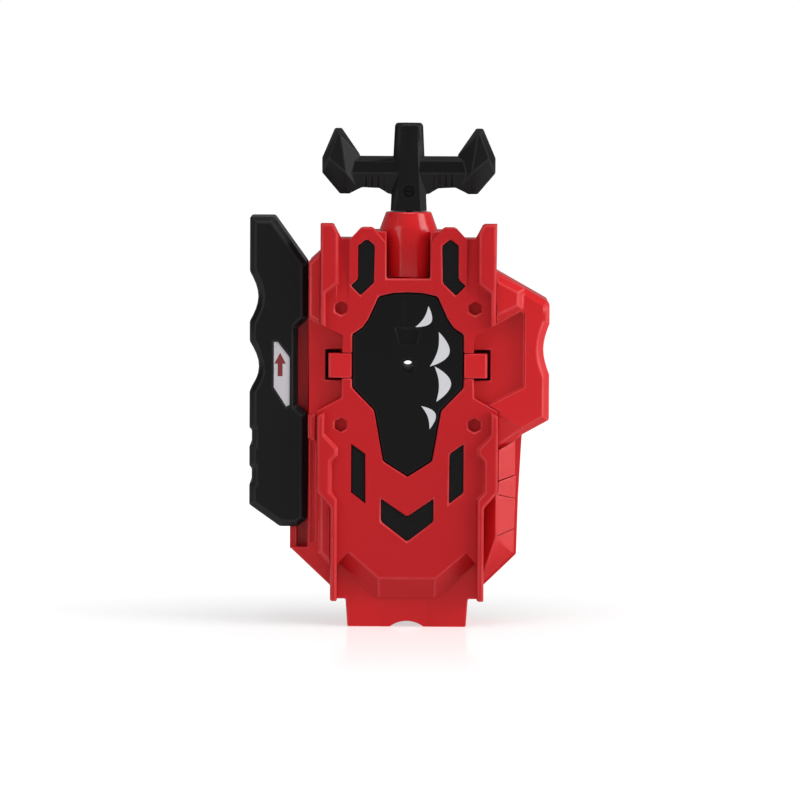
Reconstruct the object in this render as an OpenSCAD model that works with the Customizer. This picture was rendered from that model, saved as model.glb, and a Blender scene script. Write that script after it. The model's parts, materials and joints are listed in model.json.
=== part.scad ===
// Pull-cord launcher for spinning tops, with a slide that picks the direction of spin.
// X points right, Y into the depth, Z up, in millimetres.
// The origin is on the launch axis, in the plane where the two shells meet.
// Outlines are lists of [x, z] points, counterclockwise as seen from the front.

/* [Housing] */
// Distance from the launch axis down to the foot
foot_drop = 65.1; // [61:0.1:80]
// Half width of the foot where it leaves the body
foot_half_w = 15.2; // [12:0.1:16.5]
// Distance from the launch axis to the left side wall
left_w = 24.6; // [24.4:0.1:25]
// Distance from the launch axis to the tip of the right wing
wing_w = 35; // [33.5:0.1:45]
// Height of the shells' top edge above the launch axis
shell_top = 33; // [32:0.1:34]
// Depth of the front shell in front of the parting plane
front_depth = 8.2; // [8.2:0.1:12]
// Depth of the rear shell behind the parting plane
rear_depth = 12; // [11:0.1:18]
// Thickness of the shells' side walls
side_wall = 1.5; // [1:0.1:1.6]
// Thickness of the front shell's front wall
front_wall = 1.4; // [0.8:0.1:1.4]
// Thickness of the rear shell's back wall
rear_wall = 1.6; // [1:0.1:2.2]
// Width of the bevel round the back of the rear shell
rear_bevel = 1.8; // [0.6:0.1:1.9]
// Height of the wing's face over the front wall
wing_rise = 2.4; // [1.5:0.1:3.4]

/* [Front cover] */
// Thickness of the cover under its face
cover_t = 3.8; // [3.4:0.1:5]
// Height of the horns and rails over the cover's face
rail_rise = 2; // [0.8:0.1:3]
// Half width of the cover at its horns
horn_w = 21.7; // [21:0.1:22.4]
// Height of the horn tips above the launch axis
horn_top = 35.1; // [34.2:0.1:38]
// Half width of the slot that shows the cord collar
slot_w = 5.4; // [4.8:0.1:6]
// Depth of the groove between horn and pod at its upper end
groove_depth = 1.3; // [0.4:0.1:2]
// Depth of the hexagonal recesses
hex_depth = 2; // [0.4:0.1:2.2]
// Distance across the corners of the hexagonal recesses
hex_corners = 3.6; // [2.4:0.1:4.2]
// Thickness of the black frame behind the cover
frame_t = 1; // [0.6:0.1:1.4]
// Depth of the inlays and the centre plate below the cover's face
inlay_drop = 0.5; // [0.2:0.1:0.8]

/* [Gears] */
// Module of every gear
gear_module = 0.6; // [0.59:0.01:0.61]
// Teeth of the gear that drives the right-hand pinion
right_gear_teeth = 34; // [33:1:35]
// Teeth of the right-hand pinion
right_pinion_teeth = 16; // [15:1:17]
// Teeth of the gear that drives the idler
left_gear_teeth = 30; // [29:1:31]
// Teeth of the idler and of the left-hand pinion
left_pinion_teeth = 14; // [14:1:15]
// Face width of the gears
gear_w = 2.2; // [1.4:0.1:2.3]
// Play between meshing teeth at the pitch circle
backlash = 0.2; // [0.16:0.01:0.24]

/* [Spool and cord] */
// Radius at which the cord leaves the spool
cord_reach = 9.6; // [9.4:0.1:10]
// Diameter of the pull cord
cord_d = 1.3; // [0.9:0.1:1.5]
// Half width of the spool over its flanges
spool_half_w = 3.9; // [3.8:0.1:4]
// Thickness of the spool's flanges
flange_t = 0.9; // [0.6:0.1:1.1]
// Radius of the spool's flanges
flange_r = 10.3; // [10:0.1:10.4]
// Radius of the drum that the cord winds on
drum_r = 8.3; // [8:0.1:8.6]
// Wall of the drum
drum_wall = 1; // [0.7:0.1:1.2]
// Radius of the spool's axle
axle_r = 1.5; // [1.1:0.1:1.8]
// Thickness of the recoil spring's strip
strip_t = 0.22; // [0.15:0.01:0.3]
// Turns of the recoil spring
strip_turns = 8; // [5:1:9]

/* [Launch shaft] */
// Outer radius of the hollow launch shaft
shaft_r = 2.3; // [2.1:0.05:2.4]
// Radius of the bore through the launch shaft
bore_r = 1.3; // [1:0.05:1.4]
// Running clearance of shafts in their holes, on the radius
run_fit = 0.05; // [0.03:0.01:0.08]
// Gap between fixed pieces that seat in each other
seat_fit = 0.1; // [0.05:0.01:0.15]
// Gap between pieces that move past each other
free_gap = 0.3; // [0.2:0.05:0.4]
// Radius of the launch head
head_r = 11; // [10.6:0.1:14]
// Thickness of the launch head
head_t = 4; // [3:0.1:6]
// Height of the prongs over the launch head
prong_h = 9.6; // [7:0.1:14]
// Radius inside the prongs
prong_in_r = 7.6; // [7.2:0.1:8]
// Wall of the prongs
prong_wall = 2.4; // [1.6:0.1:2.6]
// Height of the clutch's dogs
dog_h = 1; // [0.7:0.1:1]
// Travel of the clutch along the shaft
clutch_travel = 2; // [1.6:0.1:2]

/* [Selector] */
// Travel of the selector grip along its rail
selector_travel = 5; // [3:0.1:5]
// Distance from the launch axis to the grip's outer face
grip_w = 39.2; // [37:0.1:46]
// Height of the grip's top above the launch axis
grip_top = 36.5; // [34:0.1:40]
// Depth of the grip, front to back
grip_depth = 20; // [19.5:0.1:26]
// Bevel along the grip's edges
grip_bevel = 1.4; // [0.6:0.1:1.9]
// Width of the rail's head, front to back
rail_head = 14; // [11:0.1:15]
// Width of the rail's neck, front to back
rail_neck = 8; // [6:0.1:9]
// Thickness of the rail's head
rail_head_t = 1.7; // [1.2:0.1:1.7]
// Width of the undercut channel behind the rail's head
rail_channel = 2.8; // [2.8:0.1:3]

/* [Collar and handle] */
// Outer radius of the cord collar
collar_r = 7.2; // [7:0.1:7.4]
// Height of the collar's flat top above the launch axis
collar_top = 37.7; // [36.8:0.1:38.6]
// Gap between the collar and the parked handle
park_gap = 0.25; // [0.2:0.05:1]
// Height of the handle, from its lower end to its top
handle_h = 21.8; // [20:0.1:26]
// Half width of the handle's stem at its lower end
stem_w = 4.5; // [4.2:0.1:5.2]
// Half width of the handle's stem at its top
stem_top_w = 3.5; // [2.8:0.1:4.2]
// Distance from the stem's axis to the outer face of a knob
handle_half_w = 21.5; // [20:0.1:28]
// Half depth of the handle's knobs
knob_half_t = 5; // [4:0.1:6]

/* [Hidden] */
$fn = 64;
over = 1;
thin = 0.01;
cover_red = [0.75, 0.14, 0.16];
shell_red = [0.80, 0.13, 0.15];
satin_black = [0.11, 0.11, 0.11];
steel = [0.72, 0.72, 0.74];
gear_white = [0.88, 0.88, 0.84];

// Levels in the depth
y_wall = -front_depth;
y_in_front = y_wall + front_wall;
y_face = y_wall - cover_t;
y_rail = y_face - rail_rise;
y_frame = y_wall - frame_t;
y_inlay = y_face + inlay_drop;
y_wing = y_wall - wing_rise;
y_bridge = y_wall - 1;
y_in_rear = rear_depth - rear_wall;
y_gear = spool_half_w;
y_gear_end = y_gear + gear_w;
y_dog = y_gear - dog_h;

// Places of the wheels, as [x, z]
launch_at = [0, 0];
wheel_gap = (right_gear_teeth + right_pinion_teeth) * gear_module / 2;
spool_at = [-cord_reach, sqrt(wheel_gap * wheel_gap - cord_reach * cord_reach)];
idler_to_spool = (left_gear_teeth + left_pinion_teeth) * gear_module / 2;
idler_to_launch = left_pinion_teeth * gear_module;
spool_angle = atan2(spool_at.y, spool_at.x);
idler_corner = acos((pow(idler_to_launch, 2) + pow(wheel_gap, 2) - pow(idler_to_spool, 2))
  / (2 * idler_to_launch * wheel_gap));
idler_angle = spool_angle + idler_corner;
idler_at = idler_to_launch * [cos(idler_angle), sin(idler_angle)];
idler_from_spool = atan2(idler_at.y - spool_at.y, idler_at.x - spool_at.x);
idler_phase = mesh_phase(idler_from_spool, 0, left_gear_teeth, left_pinion_teeth);
left_pinion_phase = mesh_phase(idler_angle + 180, idler_phase, left_pinion_teeth,
  left_pinion_teeth);
right_pinion_phase = mesh_phase(spool_angle + 180, 0, right_gear_teeth, right_pinion_teeth);

// Clutch, yoke and selector
clutch_r = 4.1;
groove_r = 3.4;
groove_w = 1.3;
yoke_t = 1.1;
spline_r = 2.9;
left_root_r = (left_pinion_teeth / 2 - 1) * gear_module;
spline_w = 1.2;
clutch_front = dog_h + clutch_travel + 0.2 - y_dog;
clutch_back = y_dog - 0.1;
yoke_y = (clutch_front + clutch_back) / 2;
yoke_in_r = groove_r + 0.2;
yoke_out_r = 4.9;
rod_at = [0, -8.2];
rod_r = 0.8;
pin_r = 0.7;
pin_z = -7;
cam_x = -6.2;
cam_t = 1.1;
cam_wall = 1;
arm_half_t = 1.2;
arm_h = 3;
arm_z = pin_z - 2.2;
arm_y = yoke_y - clutch_travel / 2 + 0.4;

rail_y = 1;
rail_top = 20;
rail_end = -45.4;
rail_x = -(left_w + rail_channel + rail_head_t);
grip_in_x = -(left_w + free_gap);
grip_front = rail_y - grip_depth / 2;
grip_back = rail_y + grip_depth / 2;
grip_bottom = rail_end + selector_travel + 0.1;

handle_z = collar_top + park_gap;
handle_top = handle_z + handle_h;
arm_mid_z = handle_z + 9.4;
screw_z = handle_z + 4.9;
head_screw_r = 1.2;
ferrule_z = handle_z + 1.2;
ferrule_h = 1.7;
ferrule_r = 1.8;
knob_x = handle_half_w - 21.5;

screw_spots = [[-15.5, 26.2], [15.5, 26.2], [-18, -30], [18, -30], [0, -48], [wing_w - 7.5, 3]];
screw_r = 1;
collar_cone = 33.3;
seat_half_y = sqrt(pow(collar_r + seat_fit, 2) - pow(slot_w, 2));
foot_flat = [-5.8, 6.2];
foot_recess = 0.15;
eyelet_r = 2.4;
idler_pin_r = 1;
bush_r = 3.4;
boss_r = 2.7;
screw_seat = rear_depth - 3;
peg_spots = [[16.5, 14.2], [16.5, -14.7], [-16.5, 14.2], [-16.5, -14.7]];
peg_r = 1.4;
peg_h = 1;
arc_steps = 8;

// Turns a point list over to the left side, and keeps it counterclockwise
function mirrored(pts) = [for (i = [len(pts) - 1 : -1 : 0]) [-pts[i].x, pts[i].y]];

// Left-hand normal of the edge from a to b, which points into a counterclockwise outline
function edge_normal(a, b) = let(d = b - a) [-d.y, d.x] / norm(d);

function inset_corner(a, b, c, d) =
  let(n1 = edge_normal(a, b), n2 = edge_normal(b, c)) b + (n1 + n2) * d / (1 + n1 * n2);

// Outline drawn in by d, or grown where d is negative
function inset(pts, d) =
  let(n = len(pts))
  [for (i = [0 : n - 1]) inset_corner(pts[(i + n - 1) % n], pts[i], pts[(i + 1) % n], d)];

// Points of a shallow arc that bites sideways into an edge between two heights
function bite(x, z_from, z_to, depth) = [
  for (i = [0 : arc_steps]) let(t = i / arc_steps)
    [x + depth * sin(180 * t), z_from + (z_to - z_from) * t]
];

function inv(a) = tan(a) * 180 / PI - a;

// Phase of the second gear that puts its gap on a tooth of the first
function mesh_phase(toward, tooth, n1, n2) = toward + 180 - (tooth - toward) * n1 / n2 + 180 / n2;

function flank_angle(n, r) =
  let(pitch = n * gear_module / 2, base = pitch * cos(20))
  90 / n - backlash / pitch / 4 * 180 / PI + inv(20) - (r > base ? inv(acos(base / r)) : 0);

function gear_pts(n) =
  let(
    pitch = n * gear_module / 2,
    tip = pitch + 0.75 * gear_module,
    root = pitch - gear_module,
    base = pitch * cos(20),
    radii = [root, max(base, root + 0.05), pitch, tip]
  )
  [
    for (k = [0 : n - 1]) each concat(
      [for (r = radii) r * [cos(360 * k / n - flank_angle(n, r)), sin(360 * k / n - flank_angle(n, r))]],
      [for (i = [len(radii) - 1 : -1 : 0]) let(r = radii[i])
        r * [cos(360 * k / n + flank_angle(n, r)), sin(360 * k / n + flank_angle(n, r))]])
  ];

// Flat piece with the outline of its children, between two depths
module slab(y_from, y_to) {
  translate([0, y_to, 0])
    rotate([90, 0, 0])
      linear_extrude(y_to - y_from)
        children();
}

module plate(pts, y_from, y_to) {
  slab(y_from, y_to)
    polygon(pts);
}

// Round bar along the depth
module rod(at, r, y_from, y_to) {
  translate([at.x, y_from, at.y])
    rotate([-90, 0, 0])
      cylinder(h = y_to - y_from, r = r);
}

// Turned piece along the depth, from a profile of [radius, y] points
module turned(at, profile) {
  translate([at.x, 0, at.y])
    rotate([-90, 0, 0])
      rotate_extrude()
        polygon(profile);
}

// Skin through rings of points, from back to front
module loft(rings) {
  n = len(rings[0]);
  k = len(rings);
  polyhedron(
    points = [for (ring = rings) each ring],
    faces = concat(
      [[for (i = [0 : n - 1]) i]],
      [for (s = [0 : k - 2]) for (i = [0 : n - 1]) let(j = (i + 1) % n)
        [s * n + i, (s + 1) * n + i, (s + 1) * n + j, s * n + j]],
      [[for (i = [n - 1 : -1 : 0]) (k - 1) * n + i]]));
}

function at_depth(pts, y) = [for (p = pts) [p.x, y, p.y]];

// Closed band of three rings round an outline, which cuts a bevel off a plate's front edge
module bevel_cut(pts, y_front, bevel) {
  n = len(pts);
  spare = 0.2;
  rings = [
    at_depth(inset(pts, -spare), y_front + bevel + spare),
    at_depth(inset(pts, -spare), y_front - spare),
    at_depth(inset(pts, bevel + spare), y_front - spare)
  ];
  polyhedron(
    points = [for (ring = rings) each ring],
    faces = [
      for (s = [0 : 2]) for (i = [0 : n - 1]) let(j = (i + 1) % n, t = (s + 1) % 3)
        [s * n + i, t * n + i, t * n + j, s * n + j]
    ]);
}

// Plate whose front edge is bevelled, with its front at y_front
module bevelled(pts, y_base, y_front, bevel) {
  difference() {
    plate(pts, y_front, y_base);
    bevel_cut(pts, y_front, bevel);
  }
}

// The same plate with its bevel at the back
module bevelled_back(pts, y_base, y_end, bevel) {
  mirror([0, 1, 0])
    bevelled(pts, -y_base, -y_end, bevel);
}

// Wedge that slopes the edge from p to q: w wide on the face at y_top, h deep at the edge.
// It runs past p and stops just before q
module edge_slope(p, q, y_top, w, h) {
  run = norm(q - p);
  spare = 0.4;
  translate([p.x, 0, p.y])
    rotate([0, -atan2(q.y - p.y, q.x - p.x), 0])
      translate([-over, 0, 0])
        rotate([90, 0, 90])
          linear_extrude(run + over - 0.2)
            polygon([
              [y_top - h * spare, w * (1 + spare)],
              [y_top - h * spare, -w * spare],
              [y_top + h * (1 + spare), -w * spare]
            ]);
}

// Outline of both shells
shell_pts = concat(
  [
    [foot_half_w - 0.5, -foot_drop], [foot_half_w, -58.2], [18.4, -58.2], [18.4, -55.2],
    [27.1, -46.8], [27.5, -32.4], [28.3, -17.1], [wing_w, -13.4]
  ],
  bite(wing_w, -2.2, 10.4, -1.5),
  [
    [wing_w, 15.1], [wing_w - 0.4, 16], [21.7, 23.3], [21.7, 28.1],
    [18.5, 31], [13.2, 31], [11.2, shell_top], [-11.2, shell_top], [-13.2, 31], [-18.5, 31],
    [-21.7, 28.1], [-left_w, 25.4], [-left_w, rail_end], [rail_x, rail_end],
    [-19, -54.9], [-19, -58.2], [-foot_half_w, -58.2], [-foot_half_w + 0.5, -foot_drop]
  ]
);

// The same outline without the rail's foot, for the back of the rear shell
back_pts = concat(
  [for (i = [0 : len(shell_pts) - 7]) shell_pts[i]],
  [[-left_w, -49.5], [-19, -54.9], [-19, -58.2], [-foot_half_w, -58.2]],
  [[-foot_half_w + 0.5, -foot_drop]]
);
rail_foot = [[-left_w + 1, rail_end], [rail_x, rail_end], [-left_w + 1, -50.2]];

half_cover = [
  [7.4, -57.7], [17.3, -49], [17.3, -58.3], [19, -58.3], [19, -35.1], [22.4, -31.2],
  [22.4, -11.3], [16.3, -8], [16.3, 7.3], [horn_w, 10.2], [horn_w, horn_top],
  [horn_w - 3.2, horn_top], [16.5, 31.3], [14.3, 31.3], [11.6, 34.2], [8.8, 34.2],
  [slot_w, 30.4], [slot_w, 21.5]
];
cover_pts = concat(half_cover, mirrored(half_cover));

half_plate = [
  [6, -23.6], [8.2, -11.1], [13.7, -5.4], [13.7, 7.7], [11.2, 9.4], [9.7, 11.6],
  [7.2, 17.1], [3.7, 17.9]
];
plate_pts = concat([[0, -27.4]], half_plate, [[0, 18.1]], mirrored(half_plate));

half_frame = [
  [7.8, -39.6], [14.7, -35.2], [14.7, -10.6], [12.9, -8.2], [12.9, 8.2], [14.7, 10.6],
  [14.7, 20.3], [13.4, 22.2], [13.4, 30.2], [10.3, 32.3], [7.4, 30.2], [7.4, 19.8]
];
frame_pts = concat([[0, -45.4]], half_frame, mirrored(half_frame));

upper_window = [
  [11.8, 17.3], [14.2, 19.8], [12.4, 21.4], [12.4, 29.7], [10.3, 31.3], [8.3, 29.7], [8.5, 20.5]
];
lower_window = [[10.3, -34.2], [13.9, -31.4], [13.9, -19.3], [10.4, -21.8]];
chevron = [[0, -43.6], [6.5, -38.6], [6.5, -32.9], [0, -37.4], [-6.5, -32.9], [-6.5, -38.6]];
windows = [upper_window, mirrored(upper_window), lower_window, mirrored(lower_window), chevron];

horn_pts = [
  [20.3, 9.5], [horn_w, 10.2], [horn_w, horn_top], [horn_w - 3.2, horn_top], [17.3, 32.8],
  [17.3, 20.3], [20.3, 18.1]
];
rail_pts = [
  [17.3, -58.3], [19, -58.3], [19, -35.1], [22.4, -31.2], [22.4, -12.3], [20.5, -11.4],
  [20.5, -17.1], [17.5, -20.3], [17.5, -22], [19, -23.5], [19, -31.2], [17.3, -32.9]
];

wing_in = wing_w - 6.2;
wing_pts = concat(
  [[14, -9.4], [28.3, -17.1], [wing_w, -13.4]],
  bite(wing_w, -2.2, 10.4, -1.5),
  [[wing_w, 15.1], [wing_w - 0.4, 16], [21.7, 23.3], [14, 23.3]]
);
pod_pts = [[18, 9], [wing_in - 0.2, 14], [wing_in, 19.2], [18, 24.8]];
recess_right = [
  [14, -6.8], [16.2, -7.9], [19.9, -9.9], [wing_in, -5.2], [wing_in, 13], [wing_in - 1, 13.6],
  [14, 6.3]
];
recess_left = [[-left_w, -12], [-14, -6.8], [-14, 6], [-left_w, 11.7]];

function grip_pts() = concat(
  [
    [-27.2, grip_bottom], [grip_in_x, grip_bottom + 1.7], [grip_in_x, -12.1], [-27.2, -10.2],
    [-27.2, 9], [grip_in_x, 11.2], [grip_in_x, 25], [-33.2, grip_top], [-grip_w, grip_top]
  ],
  bite(-grip_w, 23, 10.6, 2.1),
  bite(-grip_w, 5.7, -6.7, 2.3),
  rib_notch(-15.8),
  rib_notch(-25.3),
  [[-grip_w, grip_bottom + 5.4], [-31.6, grip_bottom]]
);

function rib_notch(z) = [
  [-grip_w, z], [-grip_w + 0.6, z - 0.5], [-grip_w + 0.6, z - 4], [-grip_w, z - 4.5]
];

label_pts = [
  [-30.1, -10.6], [-29.1, -10.1], [-29.1, 1.5], [-29.4, 2.2], [-32.1, 5.7], [-33.3, 5.7],
  [-33.3, -5.7]
];

module hex_recess(at) {
  translate([at.x, y_face + hex_depth, at.y])
    rotate([90, 30, 0])
      cylinder(h = hex_depth + over, d = hex_corners, $fn = 6);
}

// Slope between horn and pod: deepest at the notch, gone beside the hexagonal recess
module horn_groove() {
  rise = 16;
  z_low = 15.4;
  slant = atan2(groove_depth, rise);
  x_in = 14.45;
  x_out = 17.6;
  translate([x_in, y_face, z_low])
    rotate([-slant, 0, 0])
      translate([0, -3 * over, 0.3])
        cube([x_out - x_in, 3 * over, rise + 3]);
}

module front_cover() {
  color(cover_red) {
    difference() {
      plate(cover_pts, y_face, y_wall);
      plate(inset(plate_pts, -seat_fit), y_face - over, y_wall + over);
      plate(inset(frame_pts, -seat_fit), y_frame, y_wall + over);
      for (w = windows)
        plate(w, y_face - over, y_frame + 0.3);
      for (at = peg_spots) {
        hex_recess(at);
        rod(at, peg_r + seat_fit, y_wall - peg_h - seat_fit, y_wall + over);
      }
      for (side = [0, 1])
        mirror([side, 0, 0]) {
          horn_groove();
          translate([13, y_face - over, -clip_half_h - seat_fit])
            cube([5, y_bridge - y_face + over, 2 * (clip_half_h + seat_fit)]);
          edge_slope([7.4, -57.7], [17.3, -49], y_face, 4, cover_t - 0.5);
        }
      edge_slope([-7.4, -57.7], [7.4, -57.7], y_face, 5, cover_t - 0.8);
    }
    for (side = [0, 1])
      mirror([side, 0, 0]) {
        bevelled(inset(horn_pts, 0.03), y_face + groove_depth + 0.4, y_rail, 0.4);
        bevelled(inset(rail_pts, 0.03), y_wall + 0.3 - cover_t / 2, y_rail, 0.4);
      }
  }
}

clip_in = 13.9;
clip_out = 19.6;
clip_half_h = 3;
clip_gap = 0.8;

// Space that every inner piece may use, seen from the front
module cavity(y_from, y_to) {
  plate(inset(shell_pts, side_wall), y_from, y_to);
}

module collar_seat() {
  translate([0, 0, 22.9])
    cylinder(h = 20, r = collar_r + seat_fit);
}

// Outline of the T-shaped rail and the way of the arm through it
module selector_rail() {
  translate([-left_w - rail_channel - over / 2, rail_y - rail_neck / 2, rail_end - 0.5])
    cube([rail_channel + over, rail_neck, rail_top - rail_end + 0.5]);
  translate([rail_x, rail_y - rail_head / 2, rail_end - 0.5])
    cube([rail_head_t, rail_head, rail_top - rail_end + 0.5]);
}

module arm_slot() {
  slot_h = arm_h + selector_travel + 2 * free_gap;
  translate([rail_x - over, arm_y - arm_half_t - free_gap, arm_z - selector_travel - free_gap])
    cube([2 * over - rail_x - left_w + side_wall, 2 * (arm_half_t + free_gap), slot_h]);
}

module boss(at, r, y_from, y_to) {
  intersection() {
    rod(at, r, y_from, y_to);
    cavity(y_from - over, y_to + over);
  }
}

module foot_notch() {
  translate([0, y_wall - over, -foot_drop - 5.6])
    rotate([-90, 0, 0])
      cylinder(h = front_depth + rear_depth + 2 * over, r = 7);
}

// Shallow groove across the right panel from p to q
module panel_groove(p, q) {
  groove = 0.18;
  translate([p.x, y_wall - 3, p.y])
    rotate([0, -atan2(q.y - p.y, q.x - p.x), 0])
      cube([norm(q - p), 3, groove]);
}

// Ridge beside the lower right rail: it climbs from the cover to its crest, falls off to the
// border strip, and slopes down to the chamfer
module right_panel() {
  crest = 3.3;
  difference() {
    intersection() {
      translate([0, 0, -60])
        linear_extrude(50)
          polygon([
            [18, y_wall + 0.5], [18, y_wall - 0.6], [21.9, y_wall - crest],
            [26.7, y_wall - 0.3], [26.7, y_wall + 0.5]
          ]);
      plate([[17, -60], [30, -60], [30, -16.9], [17, -23.7]], y_wall - 4, y_wall + 1);
      plate(inset(shell_pts, 0.7), y_wall - 4, 0);
    }
    edge_slope([17.5, -56.1], [30, -44], y_wall - crest, 6.5, crest - 0.2);
    panel_groove([22.1, -28.8], [26.9, -27.2]);
    panel_groove([22.1, -31.9], [26.9, -33.1]);
    panel_groove([21.9, -42.4], [26.9, -40.4]);
  }
}

// Broad slope from the wing's face down to the right panel
module wing_slope() {
  rim = inset(wing_pts, 1.45);
  hull() {
    plate([rim[0], rim[1], rim[1] + [0.4, 1], rim[0] + [0, 1]], y_wing + 0.25, y_wall);
    plate([[15.5, -24.5], [26.7, -18.6], [28.1, -17.2], [15.5, -9]], y_wall - 0.8, y_wall + 0.3);
  }
}

// Ridge and block beside the lower left rail, with a deep recess between them and the grip
module left_panel() {
  bevelled([[-22.1, -30], [-22.1, -46.8], [-18, -50.9], [-18, -30]],
    y_wall + 0.5, y_wall - 1.8, 0.9);
  bevelled([[-24.3, -18.2], [-22.7, -18.9], [-22.7, -12], [-24.3, -12.7]],
    y_wall + 0.5, y_wall - 1.4, 0.3);
}

module left_recess() {
  plate([[-24, -18.9], [-24, -44.4], [-22.6, -44.4], [-22.6, -19.5]], y_wall - over, y_wall + 0.8);
}

module front_shell() {
  color(shell_red) {
    difference() {
      union() {
        difference() {
          union() {
            plate(shell_pts, y_wall, 0);
            difference() {
              bevelled(wing_pts, y_wall + 0.6, y_wing, 1.7);
              plate(recess_right, y_wing - over, y_wall);
            }
            bevelled(pod_pts, y_wall + 0.5, y_face, 1.7);
            edge_ramp();
            wing_slope();
            right_panel();
            left_panel();
            bevelled([[-left_w, 11.9], [-21, 9.9], [-21, 28.4], [-left_w, 25.2]],
              y_wall + 0.6, y_wing + 0.6, 0.5);
          }
          cavity(y_in_front, over);
          plate(inset(cover_pts, -seat_fit), y_rail - over, y_wall);
          plate(recess_left, y_face, y_wall);
          left_recess();
        }
        for (at = screw_spots)
          boss(at, boss_r, y_in_front - 0.2, 0);
        boss(spool_at, axle_r + 1.6, y_in_front - 0.2, y_in_front + 0.4);
        boss(rod_at, rod_r + 1, y_in_front - 0.2, y_in_front + 0.8);
        for (at = peg_spots)
          rod(at, peg_r, y_wall - peg_h, y_wall + 0.2);
        intersection() {
          selector_rail();
          translate([-60, -30, -60])
            cube([60, 30, 100]);
        }
      }
      for (at = screw_spots)
        rod(at, screw_r + 0.02, y_in_front + 0.6, over);
      rod(spool_at, axle_r + 0.02, y_in_front, 0);
      rod(rod_at, rod_r + 0.02, y_in_front, 0);
      rod(launch_at, bush_r + 0.02, y_wall - over, y_in_front + over);
      for (side = [0, 1])
        mirror([side, 0, 0])
          translate([16.3, y_wall - over, -clip_half_h - clip_gap])
            cube([clip_out + clip_gap - 16.3, front_wall + 2 * over, 2 * (clip_half_h + clip_gap)]);
      translate([-slot_w, y_face, 21.5])
        cube([2 * slot_w, cover_t + front_wall, 20]);
      translate([-slot_w, y_face, shell_top - side_wall - over])
        cube([2 * slot_w, -y_face - seat_half_y, side_wall + 1]);
      translate([-foot_flat[1], y_wall - over, -foot_drop - over])
        cube([foot_flat[1] - foot_flat[0], over + foot_recess, foot_drop - 58.6]);
      collar_seat();
      arm_slot();
      foot_notch();
    }
  }
}

// Facet that climbs from the right recess to the wing's lower corner
module edge_ramp() {
  loft([
    [[16.2, y_wall + 0.5, -7.9], [wing_w - 5.8, y_wall + 0.5, -15],
      [wing_w - 2, y_wall + 0.5, -12.4], [wing_in + 0.1, y_wall + 0.5, -5.2],
      [19.9, y_wall + 0.5, -9.9]],
    [[16.2, y_wall, -7.9], [wing_w - 5.8, y_wing + 1, -15], [wing_w - 2, y_wing + 0.2, -12.4],
      [wing_in + 0.1, y_wall, -5.2], [19.9, y_wall, -9.9]]
  ]);
}

module rear_shell() {
  color(shell_red) {
    difference() {
      union() {
        difference() {
          union() {
            bevelled_back(back_pts, 0, rear_depth, rear_bevel);
            plate(rail_foot, 0, rail_y + rail_head / 2 + 1);
          }
          cavity(-over, y_in_rear);
        }
        for (at = screw_spots)
          boss(at, boss_r + 0.5, 0, y_in_rear + 0.2);
        boss(spool_at, axle_r + 1.6, y_gear_end + 0.3, y_in_rear + 0.2);
        boss(idler_at, idler_pin_r + 1.3, y_gear_end + 0.2, y_in_rear + 0.2);
        boss(rod_at, rod_r + 1, y_in_rear - 1, y_in_rear + 0.2);
        boss(leaf_at, 2, leaf_y + leaf_t, y_in_rear + 0.2);
        intersection() {
          selector_rail();
          translate([-60, 0, -60])
            cube([60, 30, 100]);
        }
      }
      for (at = screw_spots) {
        rod(at, screw_r + 0.2, -over, rear_depth + over);
        rod(at, 2.5, screw_seat, rear_depth + over);
      }
      rod(spool_at, axle_r + 0.02, 0, y_in_rear);
      rod(idler_at, idler_pin_r + 0.02, 0, y_in_rear);
      rod(rod_at, rod_r + 0.02, 0, y_in_rear);
      rod(launch_at, bush_r + 0.02, 0, rear_depth + over);
      collar_seat();
      arm_slot();
      foot_notch();
    }
  }
}

module centre_plate() {
  color(satin_black)
    difference() {
      bevelled(inset(plate_pts, 0.05), y_frame, y_inlay, 0.3);
      rod(launch_at, bore_r, y_face, y_wall);
      rod(launch_at, bore_r + 0.6, y_face, y_inlay + 0.4);
      plate([[-2, 5.2], [2, 5.2], [3.1, 9.2], [-3.1, 9.2]], y_face, y_inlay + 0.7);
      translate([-1.2, y_inlay - over, 10.6])
        cube([0.4, over + 0.12, 5.4]);
    }
}

module inlay_frame() {
  color(satin_black) {
    difference() {
      plate(frame_pts, y_frame, y_wall);
      rod(launch_at, bush_r + 1.4, y_frame - over, y_wall + over);
    }
    for (w = windows)
      plate(inset(w, seat_fit), y_inlay, y_frame + 0.2);
  }
}

module side_clip() {
  color(shell_red) {
    translate([clip_in, y_face, -clip_half_h])
      cube([clip_out - clip_in - 0.4, 1, 2 * clip_half_h]);
    translate([clip_in, y_face + 0.4, -clip_half_h])
      cube([clip_out - clip_in, y_bridge - seat_fit - y_face - 0.4, 2 * clip_half_h]);
    translate([16.5, y_bridge - 0.5, -clip_half_h])
      cube([clip_out - 16.5, y_in_front - y_bridge + 0.5, 2 * clip_half_h]);
  }
}

module left_clip() {
  mirror([1, 0, 0])
    side_clip();
}

module right_clip() {
  side_clip();
}

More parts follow.
